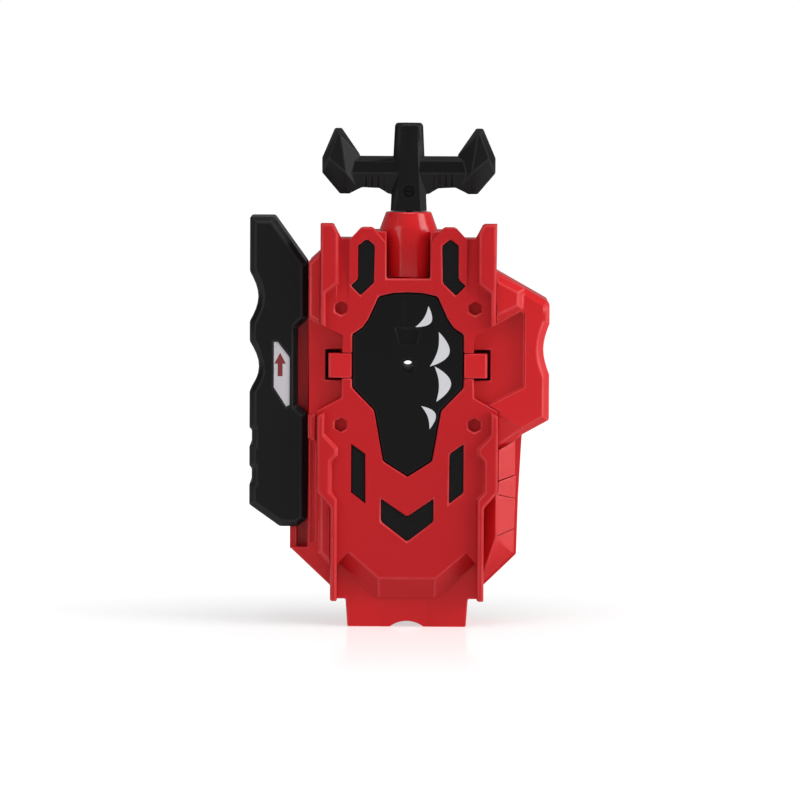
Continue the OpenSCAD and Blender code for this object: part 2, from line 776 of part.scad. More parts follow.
// The flange stays behind the collar's round front, so that the cover's slot shows the collar only
module cord_collar() {
  flange_y = collar_r - 2.6;
  color(shell_red)
    difference() {
      union() {
        translate([0, 0, 23])
          cylinder(h = collar_cone - 23, r = collar_r);
        translate([0, 0, collar_cone])
          cylinder(h = collar_top - collar_cone, r1 = collar_r, r2 = collar_r - 1.6);
        intersection() {
          translate([0, 0, 21.6])
            cylinder(h = 2, r = collar_r);
          translate([-slot_w + 0.2, -collar_r, 21])
            cube([2 * slot_w - 0.4, collar_r - 4.9, 4]);
        }
        intersection() {
          translate([0, 0, shell_top - side_wall - 1.6])
            cylinder(h = 1.5, r = collar_r + 1);
          translate([-12, -flange_y, 0])
            cube([24, 2 * flange_y, 60]);
        }
      }
      translate([0, 0, 21])
        cylinder(h = collar_top - 24.5, r = collar_r - 1.6);
      translate([0, 0, collar_top - 4])
        cylinder(h = 5, r = cord_d / 2 + 0.6);
      translate([0, 0, collar_top - 1.6])
        cylinder(h = 3, r = eyelet_r + 0.02);
    }
}

module cord_eyelet() {
  color(steel)
    translate([0, 0, collar_top - 1.6])
      difference() {
        cylinder(h = 1.6, r = eyelet_r);
        translate([0, 0, -over])
          cylinder(h = 4, r = cord_d / 2 + free_gap);
      }
}

module spool_axle() {
  color(steel)
    rod(spool_at, axle_r, y_in_front, y_in_rear);
}

// Flat strip coiled round the axle, drawn as one spiral outline
module recoil_spring() {
  r_in = axle_r + strip_t / 2 + 0.1;
  r_out = drum_r - drum_wall - strip_t / 2 - 0.3;
  steps = strip_turns * 24;
  path = [for (i = [0 : steps]) [r_in + (r_out - r_in) * i / steps, 360 * i / 24]];
  color(steel)
    translate([spool_at.x, 0, spool_at.y])
      slab(-spool_half_w + flange_t + 0.5, spool_half_w - 0.5)
        polygon(concat(
          [for (p = path) (p.x + strip_t / 2) * [cos(p.y), sin(p.y)]],
          [for (i = [steps : -1 : 0]) (path[i].x - strip_t / 2) * [cos(path[i].y), sin(path[i].y)]]));
}

module idler_pin() {
  color(steel) {
    rod(idler_at, idler_pin_r, y_gear - 0.2, y_in_rear);
    rod(idler_at, idler_pin_r + 0.8, y_gear - 0.45, y_gear - 0.1);
  }
}

module front_bush() {
  color("peru")
    difference() {
      union() {
        rod(launch_at, bush_r, y_wall, y_in_front + 0.2);
        rod(launch_at, bush_r + 0.9, y_in_front, -y_gear_end - 0.1);
      }
      rod(launch_at, shaft_r + run_fit, y_wall - over, 0);
    }
}

module rear_bush() {
  color("peru")
    difference() {
      union() {
        rod(launch_at, bush_r, y_gear_end + 0.1, rear_depth);
        rod(launch_at, bush_r + 0.9, y_in_rear - 0.8, y_in_rear);
      }
      rod(launch_at, shaft_r + run_fit, 0, rear_depth + over);
    }
}

module housing_screws() {
  color(steel)
    for (at = screw_spots)
      difference() {
        union() {
          rod(at, screw_r, y_in_front + 1, screw_seat + 0.2);
          turned(at, [[0, screw_seat], [2.1, screw_seat], [2.1, screw_seat + 0.7],
            [1.5, screw_seat + 1.4], [0, screw_seat + 1.4]]);
        }
        for (turn = [0, 90])
          translate([at.x, screw_seat + 1.4, at.y])
            rotate([0, turn + 20, 0])
              cube([2.2, 1.6, 0.5], center = true);
      }
}

leaf_at = [-16.5, -19];
leaf_t = 0.4;
leaf_y = arm_y + arm_half_t + 0.3;

module detent_spring() {
  color(steel)
    translate([leaf_at.x - 1.5, leaf_y, leaf_at.y - 1.5])
      cube([3, leaf_t, arm_z + arm_h - leaf_at.y + 1]);
}

module head_ring() {
  color(satin_black)
    turned(launch_at, [
      [head_r + 0.8, rear_depth], [head_r + 2.8, rear_depth], [head_r + 2.4, rear_depth + 3.2],
      [head_r + 0.8, rear_depth + 3.2]
    ]);
}

module yoke_rod() {
  color(steel)
    rod(rod_at, rod_r, y_in_front, y_in_rear);
}

module cord_spool() {
  color(gear_white)
    turned(spool_at, [
      [axle_r + run_fit, -spool_half_w], [flange_r, -spool_half_w],
      [flange_r, -spool_half_w + flange_t], [drum_r, -spool_half_w + flange_t],
      [drum_r, spool_half_w - flange_t], [flange_r, spool_half_w - flange_t],
      [flange_r, spool_half_w], [drum_r - drum_wall, spool_half_w],
      [drum_r - drum_wall, -spool_half_w + flange_t], [axle_r + run_fit, -spool_half_w + flange_t]
    ]);
}

winding_r = flange_r - 0.4;

module cord_winding() {
  color(satin_black)
    turned(spool_at, [
      [drum_r, -spool_half_w + flange_t], [winding_r, -spool_half_w + flange_t],
      [winding_r, spool_half_w - flange_t], [drum_r, spool_half_w - flange_t]
    ]);
}

module gear(at, n, phase, hole_r, y_from, y_to) {
  difference() {
    translate([at.x, 0, at.y])
      slab(y_from, y_to)
        rotate(phase)
          polygon(gear_pts(n));
    rod(at, hole_r, y_from - over, y_to + over);
  }
}

module right_drive_gear() {
  color(gear_white)
    gear(spool_at, right_gear_teeth, 0, axle_r + run_fit, -y_gear_end, -y_gear);
}

module left_drive_gear() {
  color(gear_white)
    gear(spool_at, left_gear_teeth, 0, axle_r + run_fit, y_gear, y_gear_end);
}

module idler_gear() {
  color(gear_white)
    gear(idler_at, left_pinion_teeth, idler_phase, idler_pin_r + run_fit, y_gear, y_gear_end);
}

// Three teeth on the end of a pinion or of the clutch
module dogs(turn, y_from, y_to, r_out = clutch_r - 0.1) {
  for (k = [0 : 2])
    slab(y_from, y_to)
      rotate(turn + 120 * k)
        intersection() {
          difference() {
            circle(r = r_out);
            circle(r = spline_r + 0.15);
          }
          polygon([[0, 0], [9, -9 * tan(24)], [9, 9 * tan(24)]]);
        }
}

module right_pinion() {
  color(gear_white) {
    gear(launch_at, right_pinion_teeth, right_pinion_phase, shaft_r + run_fit, -y_gear_end, -y_gear);
    dogs(0, -y_gear - 0.2, -y_dog);
  }
}

module left_pinion() {
  color(gear_white) {
    gear(launch_at, left_pinion_teeth, left_pinion_phase, shaft_r + run_fit, y_gear, y_gear_end);
    dogs(0, y_dog, y_gear);
    dogs(0, y_gear - 0.3, y_gear + 0.2, left_root_r - 0.1);
  }
}

shaft_front = y_wall - 0.8;
shaft_back = rear_depth + 0.4 + head_t - 0.8;
spline_front = -y_dog + 0.1;

module launch_shaft() {
  color(steel)
    difference() {
      union() {
        rod(launch_at, shaft_r, shaft_front, shaft_back);
        for (turn = [0, 90])
          translate([0, (spline_front + y_gear) / 2 - 0.1, 0])
            rotate([0, turn, 0])
              intersection() {
                cube([2 * spline_r, y_gear - spline_front - 0.3, spline_w], center = true);
                rotate([90, 0, 0])
                  cylinder(h = 20, r = spline_r, center = true);
              }
      }
      rod(launch_at, bore_r, shaft_front - over, shaft_back + over);
      difference() {
        rod(launch_at, shaft_r + over, y_wall - 0.65, y_wall - 0.1);
        rod(launch_at, shaft_r - 0.3, y_wall - over, y_wall + over);
      }
    }
}

module shaft_clip() {
  color(steel)
    difference() {
      rod(launch_at, shaft_r + 1.2, y_wall - 0.6, y_wall - 0.15);
      rod(launch_at, shaft_r - 0.28, y_wall - over, y_wall);
      translate([-1.3, y_wall - over, 0])
        cube([2.6, 2 * over, 9]);
    }
}

module launch_head() {
  y0 = rear_depth + 0.4;
  y1 = y0 + head_t;
  color(satin_black)
    turned(launch_at, [
      [shaft_r + 0.02, y0], [head_r, y0], [head_r, y1 - 1.2], [head_r - 0.8, y1],
      [prong_in_r - 1.2, y1], [prong_in_r - 1.8, y1 - 0.8], [shaft_r + 0.02, y1 - 0.8]
    ]);
}

module ring_part(r_in, r_out, from, to) {
  steps = 6;
  polygon(concat(
    [for (i = [0 : steps]) let(a = from + (to - from) * i / steps) r_out * [cos(a), sin(a)]],
    [for (i = [steps : -1 : 0]) let(a = from + (to - from) * i / steps) r_in * [cos(a), sin(a)]]));
}

// Three hooked prongs on a ring, which hold the top
module launch_prongs() {
  y0 = rear_depth + 0.4 + head_t;
  y1 = y0 + prong_h;
  out_r = prong_in_r + prong_wall;
  color(satin_black) {
    difference() {
      rod(launch_at, out_r + 0.3, y0, y0 + 1);
      rod(launch_at, prong_in_r - 0.3, y0 - over, y0 + 2);
    }
    for (k = [0 : 2]) {
      slab(y0 + 0.5, y1)
        rotate(120 * k + 75)
          ring_part(prong_in_r, out_r, 0, 30);
      slab(y1 - 2.8, y1 - 0.2)
        rotate(120 * k + 75)
          ring_part(prong_in_r + 0.15, out_r - 0.15, 25, 54);
    }
  }
}

module clutch_collar() {
  color("khaki")
    difference() {
      union() {
        rod(launch_at, clutch_r, clutch_front, clutch_back);
        dogs(60, clutch_back - 0.2, y_gear - 0.1);
        dogs(60, clutch_front - dog_h, clutch_front + 0.2);
      }
      rod(launch_at, shaft_r + run_fit, -9, 9);
      for (turn = [0, 90])
        rotate([0, turn, 0])
          cube([2 * spline_r + 0.2, 20, spline_w + 0.2], center = true);
      difference() {
        rod(launch_at, clutch_r + over, yoke_y - groove_w / 2, yoke_y + groove_w / 2);
        rod(launch_at, groove_r, -9, 9);
      }
    }
}

module shift_yoke() {
  y0 = yoke_y - yoke_t / 2;
  y1 = yoke_y + yoke_t / 2;
  color("khaki")
    difference() {
      union() {
        difference() {
          rod(launch_at, yoke_out_r, y0, y1);
          rod(launch_at, yoke_in_r, y0 - over, y1 + over);
          translate([-8, y0 - over, 0.4])
            cube([16, 9, 9]);
        }
        translate([-1.3, y0, rod_at.y])
          cube([2.6, yoke_t, -rod_at.y - yoke_in_r - 0.4]);
        rod(rod_at, rod_r + 0.9, yoke_y - 1.2, yoke_y + 1.2);
        translate([-1, yoke_y, pin_z])
          rotate([0, -90, 0])
            cylinder(h = -cam_x - 1 - 0.2, r = pin_r);
      }
      rod(rod_at, rod_r + run_fit, -9, 9);
    }
}

// Arm with its cam slot: as the arm goes down by the grip's travel, the pin goes forward
module shift_arm() {
  slot_r = pin_r + 0.15;
  rise = selector_travel;
  y_low = yoke_y - clutch_travel - slot_r - cam_wall;
  y_high = yoke_y + slot_r + cam_wall;
  color(satin_black) {
    translate([grip_in_x - 2, arm_y - arm_half_t, arm_z])
      cube([cam_x - grip_in_x + 2, 2 * arm_half_t, arm_h]);
    difference() {
      translate([cam_x, y_low, arm_z])
        cube([cam_t, y_high - y_low, pin_z + rise + slot_r + cam_wall - arm_z]);
      hull() {
        for (p = [[yoke_y, pin_z], [yoke_y - clutch_travel, pin_z + rise]])
          translate([cam_x + cam_t / 2, p.x, p.y])
            rotate([0, 90, 0])
              cylinder(h = 3 * cam_t, r = slot_r, center = true, $fn = 32);
      }
    }
  }
}

module selector_grip() {
  pocket_h = rail_top + selector_travel + free_gap - grip_bottom + over;
  color(satin_black)
    difference() {
      bevelled(grip_pts(), grip_back, grip_front, grip_bevel);
      mirror([0, 1, 0])
        bevel_cut(grip_pts(), -grip_back, grip_bevel);
      translate([rail_x - free_gap, rail_y - rail_head / 2 - free_gap, grip_bottom - over])
        cube([rail_head_t + 2 * free_gap, rail_head + 2 * free_gap, pocket_h]);
      translate([rail_x, rail_y - rail_neck / 2 - free_gap, grip_bottom - over])
        cube([-rail_x, rail_neck + 2 * free_gap, pocket_h]);
      translate([grip_in_x - 2 - 0.02, arm_y - arm_half_t - 0.02, arm_z - 0.02])
        cube([3, 2 * arm_half_t + 0.04, arm_h + 0.04]);
      plate(label_pts, grip_front - over, grip_front + 0.9);
    }
}

module direction_label() {
  color("white")
    plate(inset(label_pts, 0.1), grip_front + 0.4, grip_front + 0.9);
}

cord_start = spool_at.y + sqrt(pow(winding_r + 0.1, 2) - pow(cord_reach - cord_d / 2, 2)) + 0.1;

module cord_run() {
  color(satin_black)
    translate([0, 0, cord_start])
      cylinder(h = ferrule_z - cord_start, r = cord_d / 2);
}

module cord_ferrule() {
  color(steel)
    translate([0, 0, ferrule_z])
      cylinder(h = ferrule_h, r = ferrule_r);
}

// Thin layer of the stem, a square with its corners cut
module stem_layer(z, w) {
  cut = 1.6;
  translate([0, 0, z])
    linear_extrude(thin)
      polygon([
        [w, cut - w], [w, w - cut], [w - cut, w], [cut - w, w],
        [-w, w - cut], [-w, cut - w], [cut - w, -w], [w - cut, -w]
      ]);
}

// Half of a knob: full outline in the parting plane, small facet in front
module knob(side) {
  z = handle_z - 38.1;
  mirror([side, 0, 0])
    translate([knob_x, 0, z])
      hull() {
        plate([
          [14.7, 42.3], [17.1, 42.3], [21.5, 47.5], [21.5, 51.2], [18.4, 58.5], [16.7, 58.5],
          [12.2, 52], [12.2, 43.4]
        ], -2.2, 2.2);
        plate([[15.5, 47.5], [19.9, 51.2], [17.6, 57.3], [17, 57], [17, 52.2]],
          -knob_half_t, knob_half_t);
      }
}

module handle_whole() {
  z = arm_mid_z;
  difference() {
    union() {
      hull() {
        stem_layer(handle_z, stem_w);
        stem_layer(handle_top - 0.6, stem_top_w);
        stem_layer(handle_top - thin, stem_top_w - 0.5);
      }
      translate([-15 - knob_x, 0, 0])
        rotate([90, 0, 90])
          linear_extrude(30 + 2 * knob_x)
            polygon([
              [-2.4, z - 5.2], [2.4, z - 5.2], [4, z], [3.3, z + 2.9], [2.2, z + 4.1],
              [-2.2, z + 4.1], [-3.3, z + 2.9], [-4, z]
            ]);
      knob(0);
      knob(1);
    }
    for (side = [0, 1])
      mirror([side, 0, 0]) {
        plate([
          [stem_w + 0.2, z - 9], [14.6 + knob_x, z - 9], [14.6 + knob_x, z - 5.1],
          [11.6 + knob_x, z - 3.6], [7.3, z - 3.8], [stem_w + 0.2, z - 5.4]
        ], -9, 9);
        for (x = [5.9, 7.4, 8.9, 10.4])
          translate([x, 0, 0])
            rotate([90, 0, 90])
              linear_extrude(0.5)
                polygon([[-9, z - 5], [-2.05, z - 5], [-3.45, z - 0.5], [-9, z - 0.5]]);
      }
    translate([0, 0, ferrule_z - 0.1])
      cylinder(h = ferrule_h + 0.2, r = ferrule_r + 0.2);
    translate([0, 0, handle_z - over])
      cylinder(h = 3, r = cord_d / 2 + 0.2);
  }
}

module handle_front() {
  color(satin_black)
    difference() {
      intersection() {
        handle_whole();
        translate([-40, -20, handle_z - over])
          cube([80, 20, 40]);
      }
      rod([0, screw_z], 1, -9, over);
      rod([0, screw_z], head_screw_r + 0.15, -9, -2.4);
    }
}

module handle_rear() {
  color(satin_black)
    difference() {
      intersection() {
        handle_whole();
        translate([-40, 0, handle_z - over])
          cube([80, 20, 40]);
      }
      rod([0, screw_z], 0.82, -over, 3.2);
    }
}

module handle_screw() {
  color(steel)
    difference() {
      union() {
        rod([0, screw_z], 0.8, -2.6, 3);
        rod([0, screw_z], head_screw_r, -3.4, -2.4);
      }
      translate([0, -3.4, screw_z])
        cube([2 * head_screw_r - 0.6, 1, 0.4], center = true);
    }
}

front_cover();
front_shell();
rear_shell();
centre_plate();
inlay_frame();
left_clip();
right_clip();
cord_collar();
cord_eyelet();
spool_axle();
recoil_spring();
idler_pin();
front_bush();
rear_bush();
housing_screws();
detent_spring();
head_ring();
yoke_rod();
cord_spool();
cord_winding();
right_drive_gear();
left_drive_gear();
right_pinion();
idler_gear();
left_pinion();
launch_shaft();
launch_head();
launch_prongs();
shaft_clip();
clutch_collar();
shift_yoke();
selector_grip();
shift_arm();
direction_label();
cord_run();
cord_ferrule();
handle_front();
handle_rear();
handle_screw();
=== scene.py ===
"""Dresses the pull-cord launcher for spinning tops.

Moulded edges, plastics, steel, the blades on the front plate and the arrow on the slide are added
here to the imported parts. All sizes are in metres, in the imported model's own frame.
"""

import json
import math

import bmesh
import bpy
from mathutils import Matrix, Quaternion, Vector
from mathutils.bvhtree import BVHTree


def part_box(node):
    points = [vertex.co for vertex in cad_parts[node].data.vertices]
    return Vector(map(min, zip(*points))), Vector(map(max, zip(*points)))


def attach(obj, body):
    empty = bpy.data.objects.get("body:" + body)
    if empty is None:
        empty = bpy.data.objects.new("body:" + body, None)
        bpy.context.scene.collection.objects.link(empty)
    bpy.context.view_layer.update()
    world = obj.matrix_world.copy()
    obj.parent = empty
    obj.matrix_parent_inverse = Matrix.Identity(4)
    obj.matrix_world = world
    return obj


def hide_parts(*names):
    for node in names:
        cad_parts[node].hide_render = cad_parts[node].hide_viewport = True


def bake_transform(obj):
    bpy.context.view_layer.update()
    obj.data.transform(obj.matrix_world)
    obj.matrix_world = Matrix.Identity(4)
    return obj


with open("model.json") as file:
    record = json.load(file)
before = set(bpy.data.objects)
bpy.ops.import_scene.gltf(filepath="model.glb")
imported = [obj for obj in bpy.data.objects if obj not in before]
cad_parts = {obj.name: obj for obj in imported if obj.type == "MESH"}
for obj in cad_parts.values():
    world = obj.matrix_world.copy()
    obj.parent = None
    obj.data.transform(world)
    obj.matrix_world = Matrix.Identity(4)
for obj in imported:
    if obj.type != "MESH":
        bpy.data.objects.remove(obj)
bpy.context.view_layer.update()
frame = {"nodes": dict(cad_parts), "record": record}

bl_info = {
    "name": "Spinning Top Launcher",
    "version": (1, 0, 0),
    "blender": (4, 5, 0),
    "location": "View3D > Sidebar > Launcher",
    "description": "Dresses a pull-cord launcher for spinning tops",
    "category": "Add Mesh",
}

MM = 0.001
FOOT_Z = -0.0651

# Camera: the point it looks at, and how far, how high and how tilted it stands
PHOTO_CENTRE = (-0.0019, -0.012, -0.00843)
CAMERA_AWAY = 1.3
CAMERA_RISE = math.radians(4.0)
CAMERA_ROLL = math.radians(0.3)
CAMERA_LENS = 236.97

# Softboxes: place, size and power; all of them look at the origin
SOFTBOXES = {
    "right softbox": ((0.98, -0.36, 0.24), (0.62, 1.0), 10.6),
    "top softbox": ((0.05, -0.35, 0.95), (0.8, 0.6), 4.6),
    "left softbox": ((-0.88, -0.92, 0.25), (0.6, 1.0), 3.7),
}
ROOM_LIGHT = 0.26

# Rounded edges: which edges are sharp, what counts as flat, and how close corners are merged
SHARP = math.radians(24.0)
FLAT = math.radians(0.8)
FINE_WELD = 0.01 * MM
COARSE_WELD = 0.04 * MM
# Share of the free room beside an edge that its rounding may take
ROOM_SHARE = 0.45
# A next corner past an edge's end limits the room only if it lies off the edge's line by more than
# this much of its distance
LEAN_SHARE = 0.3
# Goes at a rounding without folds. In the first of them a width near a fold shrinks, later or where
# it is small it drops to none. The reach round a fold grows with each go, in edge widths.
GOES = 9
SHRINKING_GOES = 5
SHRINK = 0.55
SMALL_WIDTH = 0.3
REACH = 1.6
REACH_GROWTH = 0.4
# How much of the width a rounded corner may lie off the part's own surface
OFF_SURFACE = 0.7
# Steepest joints that are still shaded smoothly: between old faces, and beside new ones
SMOOTH_OLD = math.radians(20)
SMOOTH_NEW = math.radians(40)
# Shares of the edge radius that smaller, inner and thin parts take
SMALL_SHARE = 0.7
INNER_SHARE = 0.6
THIN_SHARE = 0.3

# How deep an added flat shape sinks into its ground, in metres
SUNK = 0.05 * MM

GRAIN_SCALE = 2600.0


# Settings


class LauncherSizes(bpy.types.PropertyGroup):
    shell_edge: bpy.props.FloatProperty(
        name="Housing edge", description="Radius of the housing's moulded edges",
        default=0.00035, unit="LENGTH")
    plate_edge: bpy.props.FloatProperty(
        name="Plate edge", description="Radius of the black plate's edges",
        default=0.0003, unit="LENGTH")
    grip_edge: bpy.props.FloatProperty(
        name="Grip edge", description="Radius of the slide grip's and the handle's edges",
        default=0.0004, unit="LENGTH")
    blade_length: bpy.props.FloatProperty(
        name="Blade length", description="Length of the longest silver blade on the plate",
        default=0.0092, unit="LENGTH")
    blade_count: bpy.props.IntProperty(
        name="Blades", description="Number of silver blades on the plate", default=4, min=3, max=9)
    dot_pitch: bpy.props.FloatProperty(
        name="Dot pitch", description="Distance between the dots of the black inlays",
        default=0.00062, unit="LENGTH")
    dot_radius: bpy.props.FloatProperty(
        name="Dot radius", description="Radius of the dots of the black inlays",
        default=0.0002, unit="LENGTH")
    cord_radius: bpy.props.FloatProperty(
        name="Cord radius", description="Radius of the pull cord", default=0.00065, unit="LENGTH")


class LauncherColours(bpy.types.PropertyGroup):
    cover_red: bpy.props.FloatVectorProperty(
        name="Cover red", description="Matte red of the front cover", subtype="COLOR",
        size=4, default=(0.520, 0.0110, 0.0150, 1.0))
    shell_red: bpy.props.FloatVectorProperty(
        name="Shell red", description="Red of the housing behind the cover", subtype="COLOR",
        size=4, default=(0.610, 0.0110, 0.0150, 1.0))
    black: bpy.props.FloatVectorProperty(
        name="Black", description="Black plastic of the handle and the slide", subtype="COLOR",
        size=4, default=(0.0060, 0.0060, 0.0065, 1.0))
    silver: bpy.props.FloatVectorProperty(
        name="Silver", description="Printed blades on the plate", subtype="COLOR",
        size=4, default=(0.66, 0.67, 0.70, 1.0))
    label_white: bpy.props.FloatVectorProperty(
        name="Label", description="Ground of the slide's label", subtype="COLOR",
        size=4, default=(0.60, 0.57, 0.61, 1.0))
    arrow_red: bpy.props.FloatVectorProperty(
        name="Arrow", description="Arrow on the slide's label", subtype="COLOR",
        size=4, default=(0.19, 0.010, 0.016, 1.0))


# Nodes


def set_inputs(node, **values):
    """Sets a node's inputs; an underscore in a name stands for a space."""
    for socket, value in values.items():
        node.inputs[socket.replace("_", " ")].default_value = value


def maths(tree, operation, *values):
    """Result of a Math node whose inputs are sockets or numbers."""
    node = tree.nodes.new("ShaderNodeMath")
    node.operation = operation
    for socket, value in zip(node.inputs, values):
        if isinstance(value, (int, float)):
            socket.default_value = value
        else:
            tree.links.new(value, socket)
    return node.outputs[0]


def mapped(tree, value, **ranges):
    """Result of a Map Range node."""
    node = tree.nodes.new("ShaderNodeMapRange")
    set_inputs(node, **ranges)
    tree.links.new(value, node.inputs["Value"])
    return node.outputs["Result"]


# Shader node groups


def new_group(name, inputs, outputs):
    group = bpy.data.node_groups.new(name, "ShaderNodeTree")
    for socket, kind, value in inputs:
        item = group.interface.new_socket(name=socket, in_out="INPUT", socket_type=kind)
        if value is not None:
            item.default_value = value
    for socket, kind in outputs:
        group.interface.new_socket(name=socket, in_out="OUTPUT", socket_type=kind)
    return group, group.nodes.new("NodeGroupInput"), group.nodes.new("NodeGroupOutput")


def moulded_grain():
    """Fine grain of moulded plastic, with a broad drift of tone."""
    group, given, out = new_group(
        "moulded grain",
        [("Vector", "NodeSocketVector", None), ("Grain Scale", "NodeSocketFloat", GRAIN_SCALE),
         ("Drift Scale", "NodeSocketFloat", 22.0)],
        [("Height", "NodeSocketFloat"), ("Tone", "NodeSocketFloat")])
    nodes, links = group.nodes, group.links
    grain = nodes.new("ShaderNodeTexNoise")
    set_inputs(grain, Detail=2.5)
    drift = nodes.new("ShaderNodeTexNoise")
    set_inputs(drift, Detail=2.0)
    for texture, scale in ((grain, "Grain Scale"), (drift, "Drift Scale")):
        links.new(given.outputs["Vector"], texture.inputs["Vector"])
        links.new(given.outputs[scale], texture.inputs["Scale"])
    links.new(grain.outputs["Fac"], out.inputs["Height"])
    links.new(drift.outputs["Fac"], out.inputs["Tone"])
    return group


def painted_edge_highlight():
    """Lightens a colour on the moulded edges in broken patches, as a painted highlight."""
    group, given, out = new_group(
        "painted edge highlight",
        [("Color", "NodeSocketColor", (0.5, 0.5, 0.5, 1)),
         ("Rub Color", "NodeSocketColor", (1, 1, 1, 1)),
         ("Edge", "NodeSocketFloat", 0.0), ("Amount", "NodeSocketFloat", 0.5),
         ("Vector", "NodeSocketVector", None)],
        [("Color", "NodeSocketColor")])
    nodes, links = group.nodes, group.links
    broken = nodes.new("ShaderNodeTexNoise")
    set_inputs(broken, Scale=180.0, Detail=3.0)
    links.new(given.outputs["Vector"], broken.inputs["Vector"])
    # Broken patches of the painted edge highlight
    spread = mapped(group, broken.outputs["Fac"], From_Min=0.30, From_Max=0.62, To_Min=0.45)
    on_edge = maths(group, "MULTIPLY", spread, given.outputs["Edge"])
    mix = nodes.new("ShaderNodeMix")
    mix.data_type = "RGBA"
    links.new(maths(group, "MULTIPLY", on_edge, given.outputs["Amount"]), mix.inputs["Factor"])
    links.new(given.outputs["Color"], mix.inputs["A"])
    links.new(given.outputs["Rub Color"], mix.inputs["B"])
    links.new(mix.outputs["Result"], out.inputs["Color"])
    return group


GROUPS = {}


def group_named(name):
    makers = {"moulded grain": moulded_grain, "painted edge highlight": painted_edge_highlight}
    if name not in GROUPS:
        GROUPS[name] = makers[name]()
    return GROUPS[name]


# Materials


def place_group(material, name, **values):
    node = material.node_tree.nodes.new("ShaderNodeGroup")
    node.node_tree = group_named(name)
    set_inputs(node, **values)
    return node


def new_material(name, colour):
    material = bpy.data.materials.new(name)
    material.use_nodes = True
    material.diffuse_color = tuple(colour[:3]) + (1.0,)
    shader = material.node_tree.nodes["Principled BSDF"]
    return material, material.node_tree.nodes, material.node_tree.links, shader


def toned(colour, gain):
    return tuple(min(1.0, c * gain) for c in colour[:3]) + (1.0,)


def between(tree, factor, low, high):
    """Colour between two, by a factor."""
    shade = tree.nodes.new("ShaderNodeMix")
    shade.data_type = "RGBA"
    set_inputs(shade, A=low, B=high)
    tree.links.new(factor, shade.inputs["Factor"])
    return shade.outputs["Result"]


def set_relief(tree, shader, height, strength, distance):
    """Bumps a shader's surface by a height."""
    relief = tree.nodes.new("ShaderNodeBump")
    set_inputs(relief, Strength=strength, Distance=distance)
    tree.links.new(height, relief.inputs["Height"])
    tree.links.new(relief.outputs["Normal"], shader.inputs["Normal"])


def plastic(name, colour, rough=0.4, rough_span=0.08, bump=0.06, tone=0.10,
            edge_highlight=0.0, edge_highlight_colour=(1.0, 1.0, 1.0, 1.0), specular=0.5):
    """Moulded plastic: grain in the surface, a drift of tone, and edges lightened by a painted
    highlight.
    """
    material, nodes, links, shader = new_material(name, colour)
    tree = material.node_tree
    place = nodes.new("ShaderNodeTexCoord")
    grained = place_group(material, "moulded grain", Grain_Scale=GRAIN_SCALE)
    links.new(place.outputs["Object"], grained.inputs["Vector"])
    drift = grained.outputs["Tone"]
    colour_out = between(tree, drift, toned(colour, 1.0 - tone), toned(colour, 1.0 + tone))
    # Lighter edges here are a painted highlight on the bevel faces
    if edge_highlight > 0:
        edge = nodes.new("ShaderNodeAttribute")
        edge.attribute_name = "edge"
        highlighted = place_group(material, "painted edge highlight", Amount=edge_highlight, Rub_Color=edge_highlight_colour)
        links.new(place.outputs["Object"], highlighted.inputs["Vector"])
        links.new(edge.outputs["Fac"], highlighted.inputs["Edge"])
        links.new(colour_out, highlighted.inputs["Color"])
        colour_out = highlighted.outputs["Color"]
    links.new(colour_out, shader.inputs["Base Color"])
    links.new(mapped(tree, drift, To_Min=rough - rough_span, To_Max=rough + rough_span),
              shader.inputs["Roughness"])
    set_relief(tree, shader, grained.outputs["Height"], bump, 0.1 * MM)
    set_inputs(shader, Specular_IOR_Level=specular)
    return material


def brushed(name, colour, rough=0.3):
    """Metal with fine lines along the depth."""
    material, nodes, links, shader = new_material(name, colour)
    tree = material.node_tree
    place = nodes.new("ShaderNodeTexCoord")
    along = nodes.new("ShaderNodeMapping")
    set_inputs(along, Scale=(2200.0, 60.0, 2200.0))
    lines = nodes.new("ShaderNodeTexNoise")
    set_inputs(lines, Scale=1.0, Detail=3.0)
    links.new(place.outputs["Object"], along.inputs["Vector"])
    links.new(along.outputs["Vector"], lines.inputs["Vector"])
    factor = lines.outputs["Fac"]
    links.new(between(tree, factor, toned(colour, 0.82), toned(colour, 1.12)),
              shader.inputs["Base Color"])
    links.new(mapped(tree, factor, To_Min=rough - 0.08, To_Max=rough + 0.12),
              shader.inputs["Roughness"])
    set_relief(tree, shader, factor, 0.15, 0.05 * MM)
    set_inputs(shader, Metallic=1.0)
    return material


def braided(name, colour):
    """Braided cord, with its strands crossing round the length."""
    material, nodes, links, shader = new_material(name, colour)
    tree = material.node_tree
    place = nodes.new("ShaderNodeTexCoord")
    slant = nodes.new("ShaderNodeMapping")
    set_inputs(slant, Rotation=(0.0, math.radians(35), 0.0))
    strands = nodes.new("ShaderNodeTexWave")
    set_inputs(strands, Scale=900.0, Distortion=1.5)
    links.new(place.outputs["Object"], slant.inputs["Vector"])
    links.new(slant.outputs["Vector"], strands.inputs["Vector"])
    links.new(between(tree, strands.outputs["Fac"], toned(colour, 0.6), toned(colour, 1.9)),
              shader.inputs["Base Color"])
    set_relief(tree, shader, strands.outputs["Fac"], 0.6, 0.1 * MM)
    set_inputs(shader, Roughness=0.85, Sheen_Weight=0.2)
    return material


FINISHES = {}


